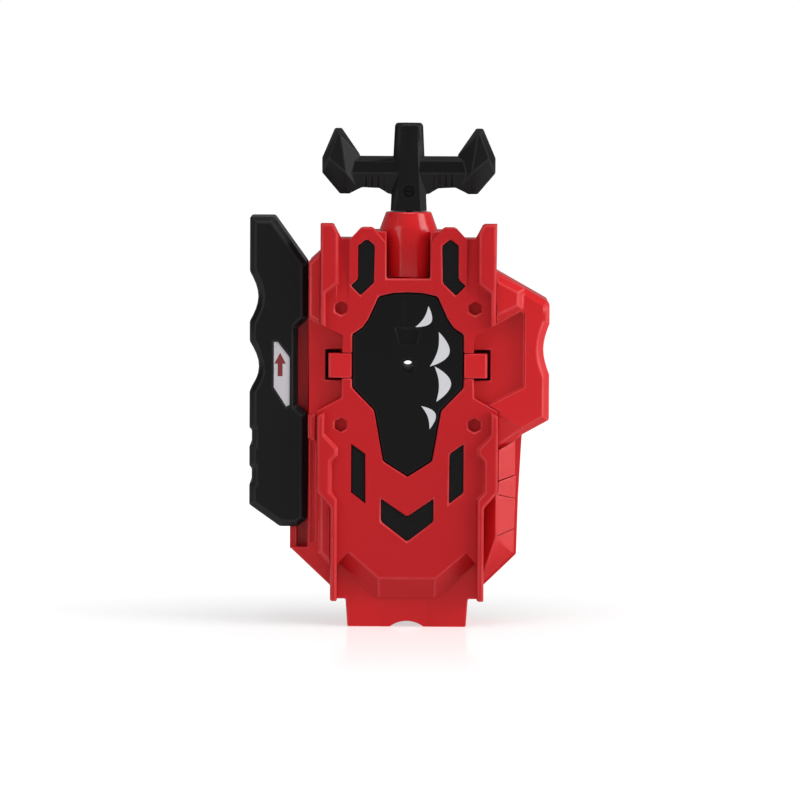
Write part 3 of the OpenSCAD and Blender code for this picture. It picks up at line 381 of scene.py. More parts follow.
def finish_named(name):
    """Material of one of the launcher's finishes, made on first use."""
    if name in FINISHES:
        return FINISHES[name]
    colours = bpy.context.scene.launcher_colours
    red, shell, black = tuple(colours.cover_red), tuple(colours.shell_red), tuple(colours.black)
    # The red, black and label finishes lighten their edges with a painted highlight
    makers = {
        "cover red": lambda: plastic(
            "cover red", red, rough=0.44, bump=0.10, tone=0.10, edge_highlight=0.3,
            edge_highlight_colour=(0.85, 0.11, 0.12, 1.0), specular=0.2),
        "shell red": lambda: plastic(
            "shell red", shell, rough=0.30, rough_span=0.05, bump=0.04, tone=0.08, edge_highlight=0.4,
            edge_highlight_colour=(0.85, 0.10, 0.11, 1.0), specular=0.26),
        "collar red": lambda: plastic(
            "collar red", shell, rough=0.20, rough_span=0.04, bump=0.02, tone=0.05, edge_highlight=0.3,
            edge_highlight_colour=(0.80, 0.10, 0.11, 1.0), specular=0.4),
        "satin black": lambda: plastic(
            "satin black", black, rough=0.38, rough_span=0.06, bump=0.10, tone=0.25, edge_highlight=0.55,
            edge_highlight_colour=(0.028, 0.028, 0.030, 1.0), specular=0.12),
        "plate black": lambda: plastic(
            "plate black", toned(black, 0.75), rough=0.33, rough_span=0.05, bump=0.05, tone=0.2,
            edge_highlight=0.5, edge_highlight_colour=(0.02, 0.02, 0.022, 1.0), specular=0.1),
        "inlay black": lambda: plastic(
            "inlay black", toned(black, 0.9), rough=0.42, bump=0.05, tone=0.3, specular=0.12),
        "natural plastic": lambda: plastic(
            "natural plastic", (0.70, 0.68, 0.60, 1.0), rough=0.38, bump=0.05, tone=0.05),
        "printed silver": lambda: plastic(
            "printed silver", tuple(colours.silver), rough=0.38, bump=0.05, tone=0.06),
        "label ground": lambda: plastic(
            "label ground", tuple(colours.label_white), rough=0.35, bump=0.03, tone=0.04,
            edge_highlight=0.4, edge_highlight_colour=(0.85, 0.83, 0.86, 1.0)),
        "label arrow": lambda: plastic(
            "label arrow", tuple(colours.arrow_red), rough=0.35, bump=0.03, tone=0.05),
        "steel": lambda: brushed("steel", (0.60, 0.60, 0.62, 1.0)),
        "dark steel": lambda: brushed("dark steel", (0.10, 0.09, 0.10, 1.0), rough=0.45),
        "bush bronze": lambda: brushed("bush bronze", (0.55, 0.33, 0.15, 1.0), rough=0.35),
        "cord weave": lambda: braided("cord weave", (0.010, 0.010, 0.011, 1.0)),
    }
    FINISHES[name] = makers[name]()
    return FINISHES[name]


def paint(obj, finish):
    obj.data.materials.clear()
    obj.data.materials.append(finish_named(finish))


# Shared mesh work


def add_piece(name, mesh, finish, body):
    obj = bpy.data.objects.new(name, mesh)
    bpy.context.scene.collection.objects.link(obj)
    paint(obj, finish)
    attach(obj, body)
    return obj


def body_of_node(node):
    for body, nodes in frame["record"]["behaviour"]["bodies"].items():
        if node in nodes:
            return body
    raise RuntimeError("no body holds " + node)


def bevel_room(edge):
    """Width that a bevel of the edge can take on its faces before it meets another edge."""
    start, end = edge.verts[0].co, edge.verts[1].co
    along = (end - start).normalized()
    length = (end - start).length
    room = math.inf
    for loop in edge.link_loops:
        beside = {loop.link_loop_prev.vert, loop.link_loop_next.link_loop_next.vert}
        for corner in loop.face.verts:
            if corner in edge.verts:
                continue
            span = corner.co - start
            passed = span.dot(along)
            if corner in beside:
                gap = (span - along * passed).length
                if not 0 <= passed <= length and gap < LEAN_SHARE * span.length:
                    continue
            else:
                gap = (span - along * min(max(passed, 0.0), length)).length
            room = min(room, gap)
    return room


def merged_part(node, merge):
    """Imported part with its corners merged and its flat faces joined."""
    bm = bmesh.new()
    bm.from_mesh(frame["nodes"][node].data)
    bmesh.ops.remove_doubles(bm, verts=bm.verts, dist=merge)
    bmesh.ops.dissolve_degenerate(bm, edges=bm.edges, dist=merge * 0.5)
    bmesh.ops.dissolve_limit(bm, angle_limit=FLAT, verts=bm.verts, edges=bm.edges)
    for face in bm.faces:
        face.smooth = True
    return bm


def moulded_copy(node, finish, edge, merge=FINE_WELD):
    """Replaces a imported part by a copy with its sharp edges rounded, as far as there is room."""
    clean = merged_part(node, merge)
    weight = clean.edges.layers.float.new("bevel_weight_edge")
    for line in clean.edges:
        if len(line.link_faces) == 2 and line.calc_face_angle(0.0) > SHARP:
            line[weight] = min(1.0, ROOM_SHARE * bevel_room(line) / edge)
    known = {round_spot(place) for place in crossings(clean)}
    surface = BVHTree.FromBMesh(clean)
    for go in range(GOES):
        mesh = bevelled(clean, node, edge, 2 if go < GOES - 1 else 1)
        places = folds(mesh, known, surface, OFF_SURFACE * edge)
        if not places:
            break
        reach = edge * (REACH + REACH_GROWTH * go)
        for line in clean.edges:
            if line[weight] > 0.0 and near_line(line, places, reach):
                shrinks = line[weight] > SMALL_WIDTH and go < SHRINKING_GOES
                line[weight] = line[weight] * SHRINK if shrinks else 0.0
    clean.free()
    mesh = with_flat_faces(mesh)
    mesh.name = node + "_moulded"
    obj = add_piece(node + "_moulded", mesh, finish, body_of_node(node))
    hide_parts(node)


def folds(mesh, known, surface, reach):
    """Places where a rounded mesh newly crosses itself or is farther than reach off a surface."""
    probe = bmesh.new()
    probe.from_mesh(mesh)
    places = [place for place in crossings(probe) if round_spot(place) not in known]
    places += [vert.co.copy() for vert in probe.verts
               if surface.find_nearest(vert.co)[3] > reach]
    probe.free()
    return places


def round_spot(place):
    """Place in whole hundredths of a millimetre."""
    return tuple(round(value * 100 / MM) for value in place)


def near_line(line, places, reach):
    """Whether one of the places is within reach of an edge."""
    start, end = line.verts[0].co, line.verts[1].co
    span = end - start
    length = max(span.length_squared, 1e-18)
    for place in places:
        share = min(max((place - start).dot(span) / length, 0.0), 1.0)
        if (start + span * share - place).length < reach:
            return True
    return False


def turn(a, b, c):
    """Twice the signed area of a flat triangle."""
    return (b[0] - a[0]) * (c[1] - a[1]) - (b[1] - a[1]) * (c[0] - a[0])


def crossings(bm):
    """Places where the outline of a face crosses itself."""
    places = []
    for face in bm.faces:
        count = len(face.verts)
        if count < 4:
            continue
        drop = max(range(3), key=lambda axis: abs(face.normal[axis]))
        flat = [tuple(c for axis, c in enumerate(vert.co) if axis != drop) for vert in face.verts]
        for i in range(count - 2):
            a, b = flat[i], flat[i + 1]
            low = (min(a[0], b[0]), min(a[1], b[1]))
            high = (max(a[0], b[0]), max(a[1], b[1]))
            for j in range(i + 2, count - (i == 0)):
                c, d = flat[j], flat[(j + 1) % count]
                if max(c[0], d[0]) < low[0] or min(c[0], d[0]) > high[0]:
                    continue
                if max(c[1], d[1]) < low[1] or min(c[1], d[1]) > high[1]:
                    continue
                if turn(a, b, c) * turn(a, b, d) < 0 and turn(c, d, a) * turn(c, d, b) < 0:
                    places.append((face.verts[i].co + face.verts[i + 1].co) / 2)
                    places.append((face.verts[j].co + face.verts[(j + 1) % count].co) / 2)
    return places


def bevelled(clean, name, edge, segments):
    """New mesh with the weighted edges of a clean one bevelled; the new faces have material 1."""
    mesh = bpy.data.meshes.new(name + "_rough")
    clean.to_mesh(mesh)
    mesh.materials.append(None)
    mesh.materials.append(None)

    def add_bevel(modifiers):
        bevel = modifiers.new("bevel", "BEVEL")
        bevel.limit_method = "WEIGHT"
        bevel.width = edge
        bevel.segments = segments
        bevel.profile = 0.55
        bevel.use_clamp_overlap = False
        bevel.material = 1

    return with_modifiers(mesh, add_bevel)


def mesh_from(bm, name):
    """Mesh of a finished bmesh, which is freed."""
    mesh = bpy.data.meshes.new(name)
    bm.to_mesh(mesh)
    bm.free()
    return mesh


def with_modifiers(mesh, add):
    """The mesh as it comes out of the modifiers that add() puts on an object."""
    holder = bpy.data.objects.new("holder", mesh)
    bpy.context.scene.collection.objects.link(holder)
    add(holder.modifiers)
    depsgraph = bpy.context.evaluated_depsgraph_get()
    done = bpy.data.meshes.new_from_object(
        holder.evaluated_get(depsgraph), preserve_all_data_layers=True, depsgraph=depsgraph)
    bpy.data.objects.remove(holder)
    bpy.data.meshes.remove(mesh)
    return done


def with_flat_faces(mesh):
    """The mesh with its new faces marked and its normals led by the large faces."""
    bm = bmesh.new()
    bm.from_mesh(mesh)
    for line in bm.edges:
        old = all(face.material_index == 0 for face in line.link_faces)
        line.smooth = line.calc_face_angle(0.0) < (SMOOTH_OLD if old else SMOOTH_NEW)
    bm.to_mesh(mesh)
    bm.free()

    def add_normals(modifiers):
        weighted = modifiers.new("weighted normals", "WEIGHTED_NORMAL")
        weighted.mode = "FACE_AREA"
        weighted.weight = 100
        weighted.keep_sharp = True
        triangles = modifiers.new("triangles", "TRIANGULATE")
        triangles.min_vertices = 5
        triangles.keep_custom_normals = True

    mesh = with_modifiers(mesh, add_normals)
    spread = mesh.attributes.new("edge", "FLOAT", "FACE")
    spread.data.foreach_set("value", [float(face.material_index) for face in mesh.polygons])
    mesh.polygons.foreach_set("material_index", [0] * len(mesh.polygons))
    return mesh


def faces_in_front(node, name):
    """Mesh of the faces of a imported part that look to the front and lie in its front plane."""
    bm = bmesh.new()
    bm.from_mesh(frame["nodes"][node].data)
    bmesh.ops.remove_doubles(bm, verts=bm.verts, dist=0.005 * MM)
    limit = min(v.co.y for v in bm.verts) + 0.05 * MM
    behind = [f for f in bm.faces if f.normal.y > -0.99 or f.calc_center_median().y > limit]
    bmesh.ops.delete(bm, geom=behind, context="FACES")
    bmesh.ops.dissolve_limit(bm, angle_limit=math.radians(1), verts=bm.verts, edges=bm.edges)
    return mesh_from(bm, name)


def outline_plate(name, outline, y_back, y_front):
    """Flat raised shape from an [x, z] outline in millimetres."""
    bm = bmesh.new()
    back = [bm.verts.new((x * MM, y_back, z * MM)) for x, z in outline]
    front = [bm.verts.new((x * MM, y_front, z * MM)) for x, z in outline]
    bm.faces.new(front)
    bm.faces.new(list(reversed(back)))
    for i in range(len(outline)):
        j = (i + 1) % len(outline)
        bm.faces.new((front[i], back[i], back[j], front[j]))
    bmesh.ops.recalc_face_normals(bm, faces=bm.faces)
    bmesh.ops.triangulate(bm, faces=[f for f in bm.faces if len(f.verts) > 4])
    return mesh_from(bm, name)


def tube_mesh(name, radius, bottom, top):
    """Closed tube along Z on the origin's axis, cut into rings."""
    sides, rings = 20, 48
    bm = bmesh.new()
    rows = []
    for k in range(rings + 1):
        z = bottom + (top - bottom) * k / rings
        rows.append([
            bm.verts.new((radius * math.cos(math.tau * i / sides),
                          radius * math.sin(math.tau * i / sides), z))
            for i in range(sides)])
    for lower, upper in zip(rows, rows[1:]):
        for i in range(sides):
            j = (i + 1) % sides
            bm.faces.new((lower[i], lower[j], upper[j], upper[i])).smooth = True
    bm.faces.new(list(reversed(rows[0])))
    bm.faces.new(rows[-1])
    bmesh.ops.recalc_face_normals(bm, faces=bm.faces)
    return mesh_from(bm, name)


# Geometry Nodes trees for repeated pieces


UPRIGHT = (math.pi / 2, 0.0, 0.0)


def new_tree(name, inputs):
    tree = bpy.data.node_groups.new(name, "GeometryNodeTree")
    tree.interface.new_socket("Geometry", in_out="INPUT", socket_type="NodeSocketGeometry")
    for socket, kind, value in inputs:
        item = tree.interface.new_socket(socket, in_out="INPUT", socket_type=kind)
        if value is not None:
            item.default_value = value
    tree.interface.new_socket("Material", in_out="INPUT", socket_type="NodeSocketMaterial")
    tree.interface.new_socket("Geometry", in_out="OUTPUT", socket_type="NodeSocketGeometry")
    return tree, tree.nodes.new("NodeGroupInput"), tree.nodes.new("NodeGroupOutput")


def close_tree(tree, given, out, instances):
    """Ends a tree in Realize Instances and Set Material."""
    real = tree.nodes.new("GeometryNodeRealizeInstances")
    coated = tree.nodes.new("GeometryNodeSetMaterial")
    tree.links.new(instances, real.inputs[0])
    tree.links.new(real.outputs[0], coated.inputs["Geometry"])
    tree.links.new(given.outputs["Material"], coated.inputs["Material"])
    tree.links.new(coated.outputs[0], out.inputs[0])


def dome_field_tree():
    """Rows of domes over flat faces that look along Y, kept clear of the faces' edges."""
    tree, given, out = new_tree("dome field", [
        ("Pitch", "NodeSocketFloat", 0.6 * MM), ("Radius", "NodeSocketFloat", 0.2 * MM)])
    nodes, links = tree.nodes, tree.links
    box = nodes.new("GeometryNodeBoundBox")
    links.new(given.outputs["Geometry"], box.inputs[0])
    size = nodes.new("ShaderNodeVectorMath")
    size.operation = "SUBTRACT"
    links.new(box.outputs["Max"], size.inputs[0])
    links.new(box.outputs["Min"], size.inputs[1])
    middle = nodes.new("ShaderNodeMix")
    middle.data_type = "VECTOR"
    links.new(box.outputs["Min"], middle.inputs["A"])
    links.new(box.outputs["Max"], middle.inputs["B"])
    sides = nodes.new("ShaderNodeSeparateXYZ")
    links.new(size.outputs[0], sides.inputs[0])
    grid = nodes.new("GeometryNodeMeshGrid")
    for side, length, count in (("X", "Size X", "Vertices X"), ("Z", "Size Y", "Vertices Y")):
        steps = maths(tree, "DIVIDE", sides.outputs[side], given.outputs["Pitch"])
        links.new(sides.outputs[side], grid.inputs[length])
        links.new(maths(tree, "ADD", steps, 1.0), grid.inputs[count])
    stand = nodes.new("GeometryNodeTransform")
    set_inputs(stand, Rotation=UPRIGHT)
    links.new(grid.outputs["Mesh"], stand.inputs["Geometry"])
    links.new(middle.outputs["Result"], stand.inputs["Translation"])
    # A ray from in front of each spot finds out whether a face lies there.
    ahead = 2 * MM
    place = nodes.new("GeometryNodeInputPosition")
    before = nodes.new("ShaderNodeVectorMath")
    before.inputs[1].default_value = (0.0, -ahead, 0.0)
    links.new(place.outputs[0], before.inputs[0])
    ray = nodes.new("GeometryNodeRaycast")
    links.new(given.outputs["Geometry"], ray.inputs["Target Geometry"])
    links.new(before.outputs[0], ray.inputs["Source Position"])
    set_inputs(ray, Ray_Direction=(0.0, 1.0, 0.0), Ray_Length=2 * ahead)
    rim_radii = 1.2
    rim = nodes.new("GeometryNodeProximity")
    rim.target_element = "EDGES"
    links.new(given.outputs["Geometry"], rim.inputs[0])
    clear = maths(tree, "GREATER_THAN", rim.outputs["Distance"],
                  maths(tree, "MULTIPLY", given.outputs["Radius"], rim_radii))
    keep = maths(tree, "MULTIPLY", ray.outputs["Is Hit"], clear)
    ball = nodes.new("GeometryNodeMeshIcoSphere")
    set_inputs(ball, Subdivisions=2)
    links.new(given.outputs["Radius"], ball.inputs["Radius"])
    smooth = nodes.new("GeometryNodeSetShadeSmooth")
    links.new(ball.outputs["Mesh"], smooth.inputs[0])
    placed = nodes.new("GeometryNodeInstanceOnPoints")
    links.new(stand.outputs[0], placed.inputs["Points"])
    links.new(smooth.outputs[0], placed.inputs["Instance"])
    links.new(keep, placed.inputs["Selection"])
    set_inputs(placed, Scale=(1.0, 0.6, 1.0))
    close_tree(tree, given, out, placed.outputs[0])
    return tree


def blade_row_tree():
    """Copies of one shape along a bow, smaller toward both ends and leaning more and more."""
    tree, given, out = new_tree("blade row", [
        ("Count", "NodeSocketInt", 5), ("Start", "NodeSocketVector", None),
        ("Bow", "NodeSocketVector", None), ("End", "NodeSocketVector", None)])
    nodes, links = tree.nodes, tree.links
    bow = nodes.new("GeometryNodeCurveQuadraticBezier")
    for socket, name in (("Start", "Start"), ("Middle", "Bow"), ("End", "End")):
        links.new(given.outputs[name], bow.inputs[socket])
    spots = nodes.new("GeometryNodeCurveToPoints")
    links.new(bow.outputs[0], spots.inputs["Curve"])
    links.new(given.outputs["Count"], spots.inputs["Count"])
    index = nodes.new("GeometryNodeInputIndex")
    last = maths(tree, "SUBTRACT", given.outputs["Count"], 1.0)
    along = maths(tree, "DIVIDE", index.outputs[0], last)
    swell = maths(tree, "SINE", maths(tree, "MULTIPLY", along, math.pi))
    end_size, first_lean, last_lean = 0.66, -0.35, 0.55
    scale = maths(tree, "MULTIPLY_ADD", swell, 1.0 - end_size, end_size)
    lean = nodes.new("ShaderNodeCombineXYZ")
    links.new(maths(tree, "MULTIPLY_ADD", along, last_lean - first_lean, first_lean),
              lean.inputs["Y"])
    placed = nodes.new("GeometryNodeInstanceOnPoints")
    links.new(spots.outputs["Points"], placed.inputs["Points"])
    links.new(given.outputs["Geometry"], placed.inputs["Instance"])
    links.new(lean.outputs[0], placed.inputs["Rotation"])
    sides = nodes.new("ShaderNodeCombineXYZ")
    set_inputs(sides, Y=1.0)
    for axis in ("X", "Z"):
        links.new(scale, sides.inputs[axis])
    links.new(sides.outputs[0], placed.inputs["Scale"])
    close_tree(tree, given, out, placed.outputs[0])
    return tree


def cord_turns_tree():
    """Turns of cord side by side along Y."""
    tree, given, out = new_tree("cord turns", [
        ("Turns", "NodeSocketInt", 4), ("Turn Radius", "NodeSocketFloat", 9.6 * MM),
        ("Cord Radius", "NodeSocketFloat", 0.65 * MM), ("Start", "NodeSocketVector", None)])
    nodes, links = tree.nodes, tree.links
    ring = nodes.new("GeometryNodeCurvePrimitiveCircle")
    set_inputs(ring, Resolution=72)
    links.new(given.outputs["Turn Radius"], ring.inputs["Radius"])
    profile = nodes.new("GeometryNodeCurvePrimitiveCircle")
    set_inputs(profile, Resolution=12)
    links.new(given.outputs["Cord Radius"], profile.inputs["Radius"])
    tube = nodes.new("GeometryNodeCurveToMesh")
    links.new(ring.outputs["Curve"], tube.inputs["Curve"])
    links.new(profile.outputs["Curve"], tube.inputs["Profile Curve"])
    line = nodes.new("GeometryNodeMeshLine")
    links.new(given.outputs["Turns"], line.inputs["Count"])
    links.new(given.outputs["Start"], line.inputs["Start Location"])
    step = nodes.new("ShaderNodeCombineXYZ")
    links.new(maths(tree, "MULTIPLY", given.outputs["Cord Radius"], 2.0), step.inputs["Y"])
    links.new(step.outputs[0], line.inputs["Offset"])
    placed = nodes.new("GeometryNodeInstanceOnPoints")
    set_inputs(placed, Rotation=UPRIGHT)
    links.new(line.outputs[0], placed.inputs["Points"])
    links.new(tube.outputs[0], placed.inputs["Instance"])
    close_tree(tree, given, out, placed.outputs[0])
    return tree


def grown(name, mesh, tree, finish, **values):
    """Plain mesh that a tree makes from mesh, with its named inputs set."""
    holder = bpy.data.objects.new(name, mesh)
    bpy.context.scene.collection.objects.link(holder)
    modifier = holder.modifiers.new(name, "NODES")
    modifier.node_group = tree
    sockets = {item.name: item.identifier for item in tree.interface.items_tree
               if item.in_out == "INPUT"}
    for socket, value in values.items():
        modifier[sockets[socket.replace("_", " ")]] = value
    modifier[sockets["Material"]] = finish_named(finish)
    holder.update_tag()
    depsgraph = bpy.context.evaluated_depsgraph_get()
    plain = bpy.data.meshes.new_from_object(holder.evaluated_get(depsgraph), depsgraph=depsgraph)
    plain.name = name
    bpy.data.objects.remove(holder)
    if len(plain.polygons) == 0:
        raise RuntimeError("the tree made nothing for " + name)
    return plain


# Operators


class LAUNCHER_OT_stage(bpy.types.Operator):
    """Camera, pale floor and soft studio light"""
    bl_idname = "launcher.stage"
    bl_label = "Stage"

    def execute(self, context):
        scene = context.scene
        scene.view_settings.view_transform = "Standard"
        self.add_camera(scene)
        self.add_floor(scene)
        self.add_lights(scene)
        self.add_room(scene)
        return {"FINISHED"}

    def add_camera(self, scene):
        camera = bpy.data.cameras.new("photo camera")
        camera.lens = CAMERA_LENS
        camera.sensor_width = 36.0
        camera.clip_start = 0.05
        camera.clip_end = 50.0
        obj = bpy.data.objects.new("photo camera", camera)
        scene.collection.objects.link(obj)
        target = Vector(PHOTO_CENTRE)
        obj.location = target + CAMERA_AWAY * Vector(
            (0.0, -math.cos(CAMERA_RISE), math.sin(CAMERA_RISE)))
        level = (target - obj.location).to_track_quat("-Z", "Y")
        obj.rotation_euler = (level @ Quaternion((0.0, 0.0, 1.0), CAMERA_ROLL)).to_euler()
        scene.camera = obj

    def add_floor(self, scene):
        """Floor that grows paler away from the foot, with a painted shade round the foot, and
        mirrors it a little.

        Its glow goes by the distance from the origin, which is 65 mm above the floor.
        """
        half = 4.0
        mesh = bpy.data.meshes.new("floor")
        corners = ((-half, -half), (half, -half), (half, half), (-half, half))
        mesh.from_pydata([(x, y, FOOT_Z) for x, y in corners], [], [(0, 1, 2, 3)])
        floor = bpy.data.objects.new("floor", mesh)
        scene.collection.objects.link(floor)
        material, nodes, links, shader = new_material("pale floor", (0.9, 0.9, 0.9, 1.0))
        tree = material.node_tree
        set_inputs(shader, Base_Color=(0.86, 0.86, 0.86, 1.0), Roughness=0.14,
                   Specular_IOR_Level=0.9, Emission_Color=(1.0, 1.0, 1.0, 1.0))
        rays = nodes.new("ShaderNodeLightPath")
        seen = maths(tree, "MAXIMUM", rays.outputs["Is Camera Ray"], rays.outputs["Is Glossy Ray"])
        place = nodes.new("ShaderNodeTexCoord")
        away = nodes.new("ShaderNodeVectorMath")
        away.operation = "LENGTH"
        links.new(place.outputs["Object"], away.inputs[0])
        # The glow is dimmed near the foot: a painted shade round it
        glow_with_painted_shade = mapped(tree, away.outputs["Value"],
                      From_Min=0.068, From_Max=0.2, To_Min=0.49, To_Max=0.78)
        links.new(maths(tree, "MULTIPLY", seen, glow_with_painted_shade), shader.inputs["Emission Strength"])
        mesh.materials.append(material)

    def add_lights(self, scene):
        for name, (place, size, power) in SOFTBOXES.items():
            light = bpy.data.lights.new(name, "AREA")
            light.shape = "RECTANGLE"
            light.size, light.size_y = size
            light.energy = power
            obj = bpy.data.objects.new(name, light)
            scene.collection.objects.link(obj)
            obj.location = place
            obj.rotation_euler = (-obj.location).to_track_quat("-Z", "Y").to_euler()

    def add_room(self, scene):
        """White room that lights the launcher less than it is seen."""
        world = bpy.data.worlds.new("studio")
        scene.world = world
        world.use_nodes = True
        tree = world.node_tree
        ground = tree.nodes["Background"]
        set_inputs(ground, Color=(1.0, 1.0, 1.0, 1.0))
        rays = tree.nodes.new("ShaderNodeLightPath")
        seen = maths(tree, "MAXIMUM", rays.outputs["Is Camera Ray"],
                     rays.outputs["Is Transmission Ray"])
        tree.links.new(mapped(tree, seen, To_Min=ROOM_LIGHT, To_Max=1.0),
                       ground.inputs["Strength"])


class LAUNCHER_OT_housing(bpy.types.Operator):
    """Red cover, shells and clips"""
    bl_idname = "launcher.housing"
    bl_label = "Housing"

    def execute(self, context):
        edge = context.scene.launcher_sizes.shell_edge
        moulded_copy("front_cover", "cover red", edge, COARSE_WELD)
        moulded_copy("front_shell", "shell red", edge, COARSE_WELD)
        moulded_copy("rear_shell", "shell red", edge, COARSE_WELD)
        for node in ("left_clip", "right_clip"):
            moulded_copy(node, "shell red", edge * SMALL_SHARE)
        return {"FINISHED"}


class LAUNCHER_OT_plate(bpy.types.Operator):
    """Black plate with its silver blades, and the dotted inlays"""
    bl_idname = "launcher.plate"
    bl_label = "Plate and inlays"

    # Where the row of blades starts, bends and ends, in X and Z
    ROW = {"Start": (0.0044, -0.0128), "Bow": (0.0102, 0.0002), "End": (0.0034, 0.0122)}

    def execute(self, context):
        sizes = context.scene.launcher_sizes
        moulded_copy("centre_plate", "plate black", sizes.plate_edge)
        moulded_copy("inlay_frame", "inlay black", sizes.plate_edge * INNER_SHARE)
        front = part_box("centre_plate")[0][1]
        outline = self.blade_outline(sizes.blade_length / MM)
        blade = outline_plate("blade", outline, SUNK, -0.04 * MM)
        spots = {socket: (x, front, z) for socket, (x, z) in self.ROW.items()}
        blades = grown("plate_blades", blade, blade_row_tree(), "printed silver",
                       Count=sizes.blade_count, **spots)
        add_piece("plate_blades", blades, "printed silver", "housing")
        domes = grown(
            "inlay_domes", faces_in_front("inlay_frame", "inlay fronts"), dome_field_tree(),
            "inlay black", Pitch=sizes.dot_pitch, Radius=sizes.dot_radius)
        add_piece("inlay_domes", domes, "inlay black", "housing")
        return {"FINISHED"}

    @staticmethod
    def blade_outline(length):
        """Outline of an upright crescent with both ends pointed, its belly to the right."""
        steps = 14
        outer, inner = 0.44 * length, 0.10 * length
        spans = [i / steps for i in range(steps + 1)]
        belly = [(outer * math.sin(math.pi * t) ** 0.9, (t - 0.5) * length) for t in spans]
        hollow = [(inner * math.sin(math.pi * t), (t - 0.5) * length) for t in spans]
        return belly + hollow[-2:0:-1]


class LAUNCHER_OT_collar(bpy.types.Operator):
    """Cord collar and its eyelet"""
    bl_idname = "launcher.collar"
    bl_label = "Cord collar"

    def execute(self, context):
        moulded_copy("cord_collar", "collar red", context.scene.launcher_sizes.shell_edge)
        paint(frame["nodes"]["cord_eyelet"], "steel")
        return {"FINISHED"}


class LAUNCHER_OT_grip(bpy.types.Operator):
    """Slide grip with its label"""
    bl_idname = "launcher.grip"
    bl_label = "Slide grip"

    # Arrow that points up, in millimetres in X and Z
    ARROW = ((-32.2, -2.9), (-31.0, -2.9), (-31.0, 0.2), (-30.2, 0.2), (-31.6, 2.9),
             (-33.0, 0.2), (-32.2, 0.2))

    def execute(self, context):
        edge = context.scene.launcher_sizes.grip_edge
        moulded_copy("selector_grip", "satin black", edge)
        moulded_copy("direction_label", "label ground", edge * THIN_SHARE)
        paint(frame["nodes"]["shift_arm"], "satin black")
        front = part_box("direction_label")[0][1]
        mesh = outline_plate("label_arrow", self.ARROW, front + SUNK, front - 0.03 * MM)
        add_piece("label_arrow", mesh, "label arrow", "selector")
        return {"FINISHED"}


class LAUNCHER_OT_handle(bpy.types.Operator):
    """T-handle in its two halves"""
    bl_idname = "launcher.handle"
    bl_label = "Handle"

    def execute(self, context):
        edge = context.scene.launcher_sizes.grip_edge
        for node in ("handle_front", "handle_rear"):
            moulded_copy(node, "satin black", edge * SMALL_SHARE)
        paint(frame["nodes"]["handle_screw"], "satin black")
        return {"FINISHED"}


class LAUNCHER_OT_cord(bpy.types.Operator):
    """Pull cord between the spool and the handle"""
    bl_idname = "launcher.cord"
    bl_label = "Cord"

    def execute(self, context):
        low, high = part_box("cord_run")
        mesh = tube_mesh("pull_cord", context.scene.launcher_sizes.cord_radius, low[2], high[2])
        cord = bpy.data.objects.new("pull_cord", mesh)
        context.scene.collection.objects.link(cord)
        paint(cord, "cord weave")
        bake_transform(cord)
        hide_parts("cord_run")
        paint(frame["nodes"]["cord_ferrule"], "steel")
        return {"FINISHED"}


class LAUNCHER_OT_launch_head(bpy.types.Operator):
    """Launch head, prongs and the shaft that turns them"""
    bl_idname = "launcher.launch_head"
    bl_label = "Launch head"

    def execute(self, context):
        edge = context.scene.launcher_sizes.grip_edge
        for node in ("launch_head", "launch_prongs", "head_ring"):
            moulded_copy(node, "satin black", edge * INNER_SHARE)
        paint(frame["nodes"]["launch_shaft"], "dark steel")
        paint(frame["nodes"]["shaft_clip"], "steel")
        return {"FINISHED"}


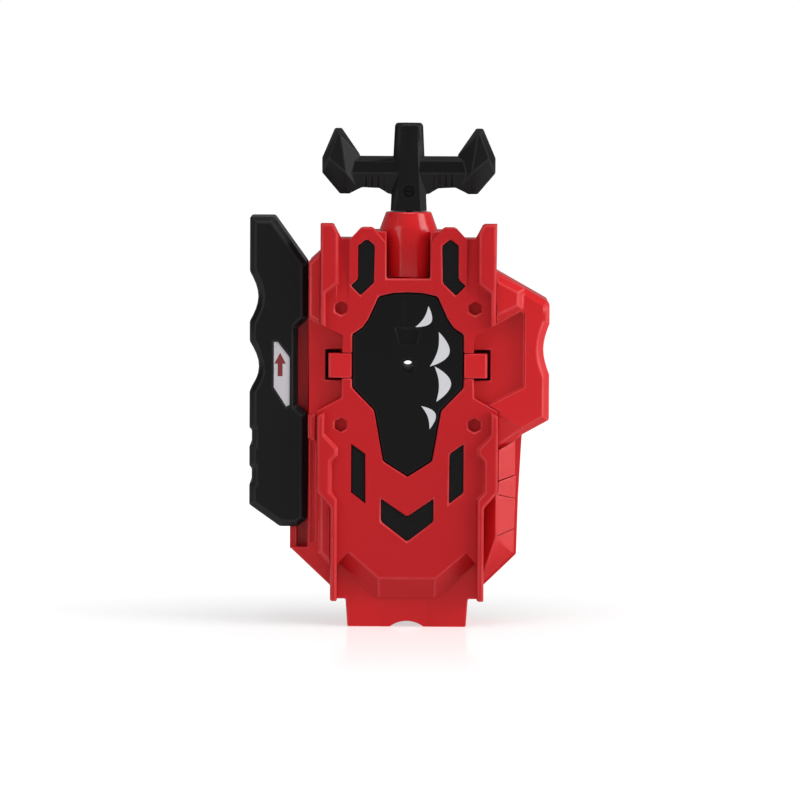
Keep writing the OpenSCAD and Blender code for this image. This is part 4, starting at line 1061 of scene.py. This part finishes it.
class LAUNCHER_OT_mechanism(bpy.types.Operator):
    """Finishes of the wheels, springs and pins inside"""
    bl_idname = "launcher.mechanism"
    bl_label = "Mechanism"

    def execute(self, context):
        finishes = {
            "natural plastic": ("cord_spool", "right_drive_gear", "left_drive_gear", "right_pinion",
                                "idler_gear", "left_pinion", "clutch_collar", "shift_yoke"),
            "steel": ("spool_axle", "recoil_spring", "idler_pin", "detent_spring", "yoke_rod",
                      "housing_screws"),
            "bush bronze": ("front_bush", "rear_bush"),
            "cord weave": ("cord_winding",),
        }
        for finish, nodes in finishes.items():
            for node in nodes:
                paint(frame["nodes"][node], finish)
        low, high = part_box("cord_winding")
        radius = context.scene.launcher_sizes.cord_radius
        count = int((high[1] - low[1]) / (2 * radius))
        start = ((low[0] + high[0]) / 2, (low[1] + high[1]) / 2 - (count - 1) * radius,
                 (low[2] + high[2]) / 2)
        clearance = 0.3 * MM
        turns = grown(
            "wound_cord", bpy.data.meshes.new("empty"), cord_turns_tree(), "cord weave",
            Turns=count, Turn_Radius=(high[0] - low[0]) / 2 - clearance, Cord_Radius=radius,
            Start=start)
        for face in turns.polygons:
            face.use_smooth = True
        add_piece("wound_cord", turns, "cord weave", "spool")
        return {"FINISHED"}


class LAUNCHER_PT_panel(bpy.types.Panel):
    """Lists the launcher's steps in the 3D view's sidebar"""
    bl_idname = "LAUNCHER_PT_panel"
    bl_label = "Spinning Top Launcher"
    bl_space_type = "VIEW_3D"
    bl_region_type = "UI"
    bl_category = "Launcher"

    def draw(self, context):
        for group in (context.scene.launcher_sizes, context.scene.launcher_colours):
            box = self.layout.box()
            for name in group.__annotations__:
                box.prop(group, name)
        for step in STEPS:
            self.layout.operator(step.bl_idname)


STEPS = (
    LAUNCHER_OT_stage, LAUNCHER_OT_housing, LAUNCHER_OT_plate, LAUNCHER_OT_collar,
    LAUNCHER_OT_grip, LAUNCHER_OT_handle, LAUNCHER_OT_cord, LAUNCHER_OT_launch_head,
    LAUNCHER_OT_mechanism,
)
CLASSES = (LauncherSizes, LauncherColours) + STEPS + (LAUNCHER_PT_panel,)


def register():
    for cls in CLASSES:
        bpy.utils.register_class(cls)
    bpy.types.Scene.launcher_sizes = bpy.props.PointerProperty(type=LauncherSizes)
    bpy.types.Scene.launcher_colours = bpy.props.PointerProperty(type=LauncherColours)


def unregister():
    del bpy.types.Scene.launcher_colours
    del bpy.types.Scene.launcher_sizes
    for cls in reversed(CLASSES):
        bpy.utils.unregister_class(cls)


def main():
    register()
    for step in STEPS:
        getattr(bpy.ops.launcher, step.bl_idname.removeprefix("launcher."))()


if __name__ == "__main__":
    main()
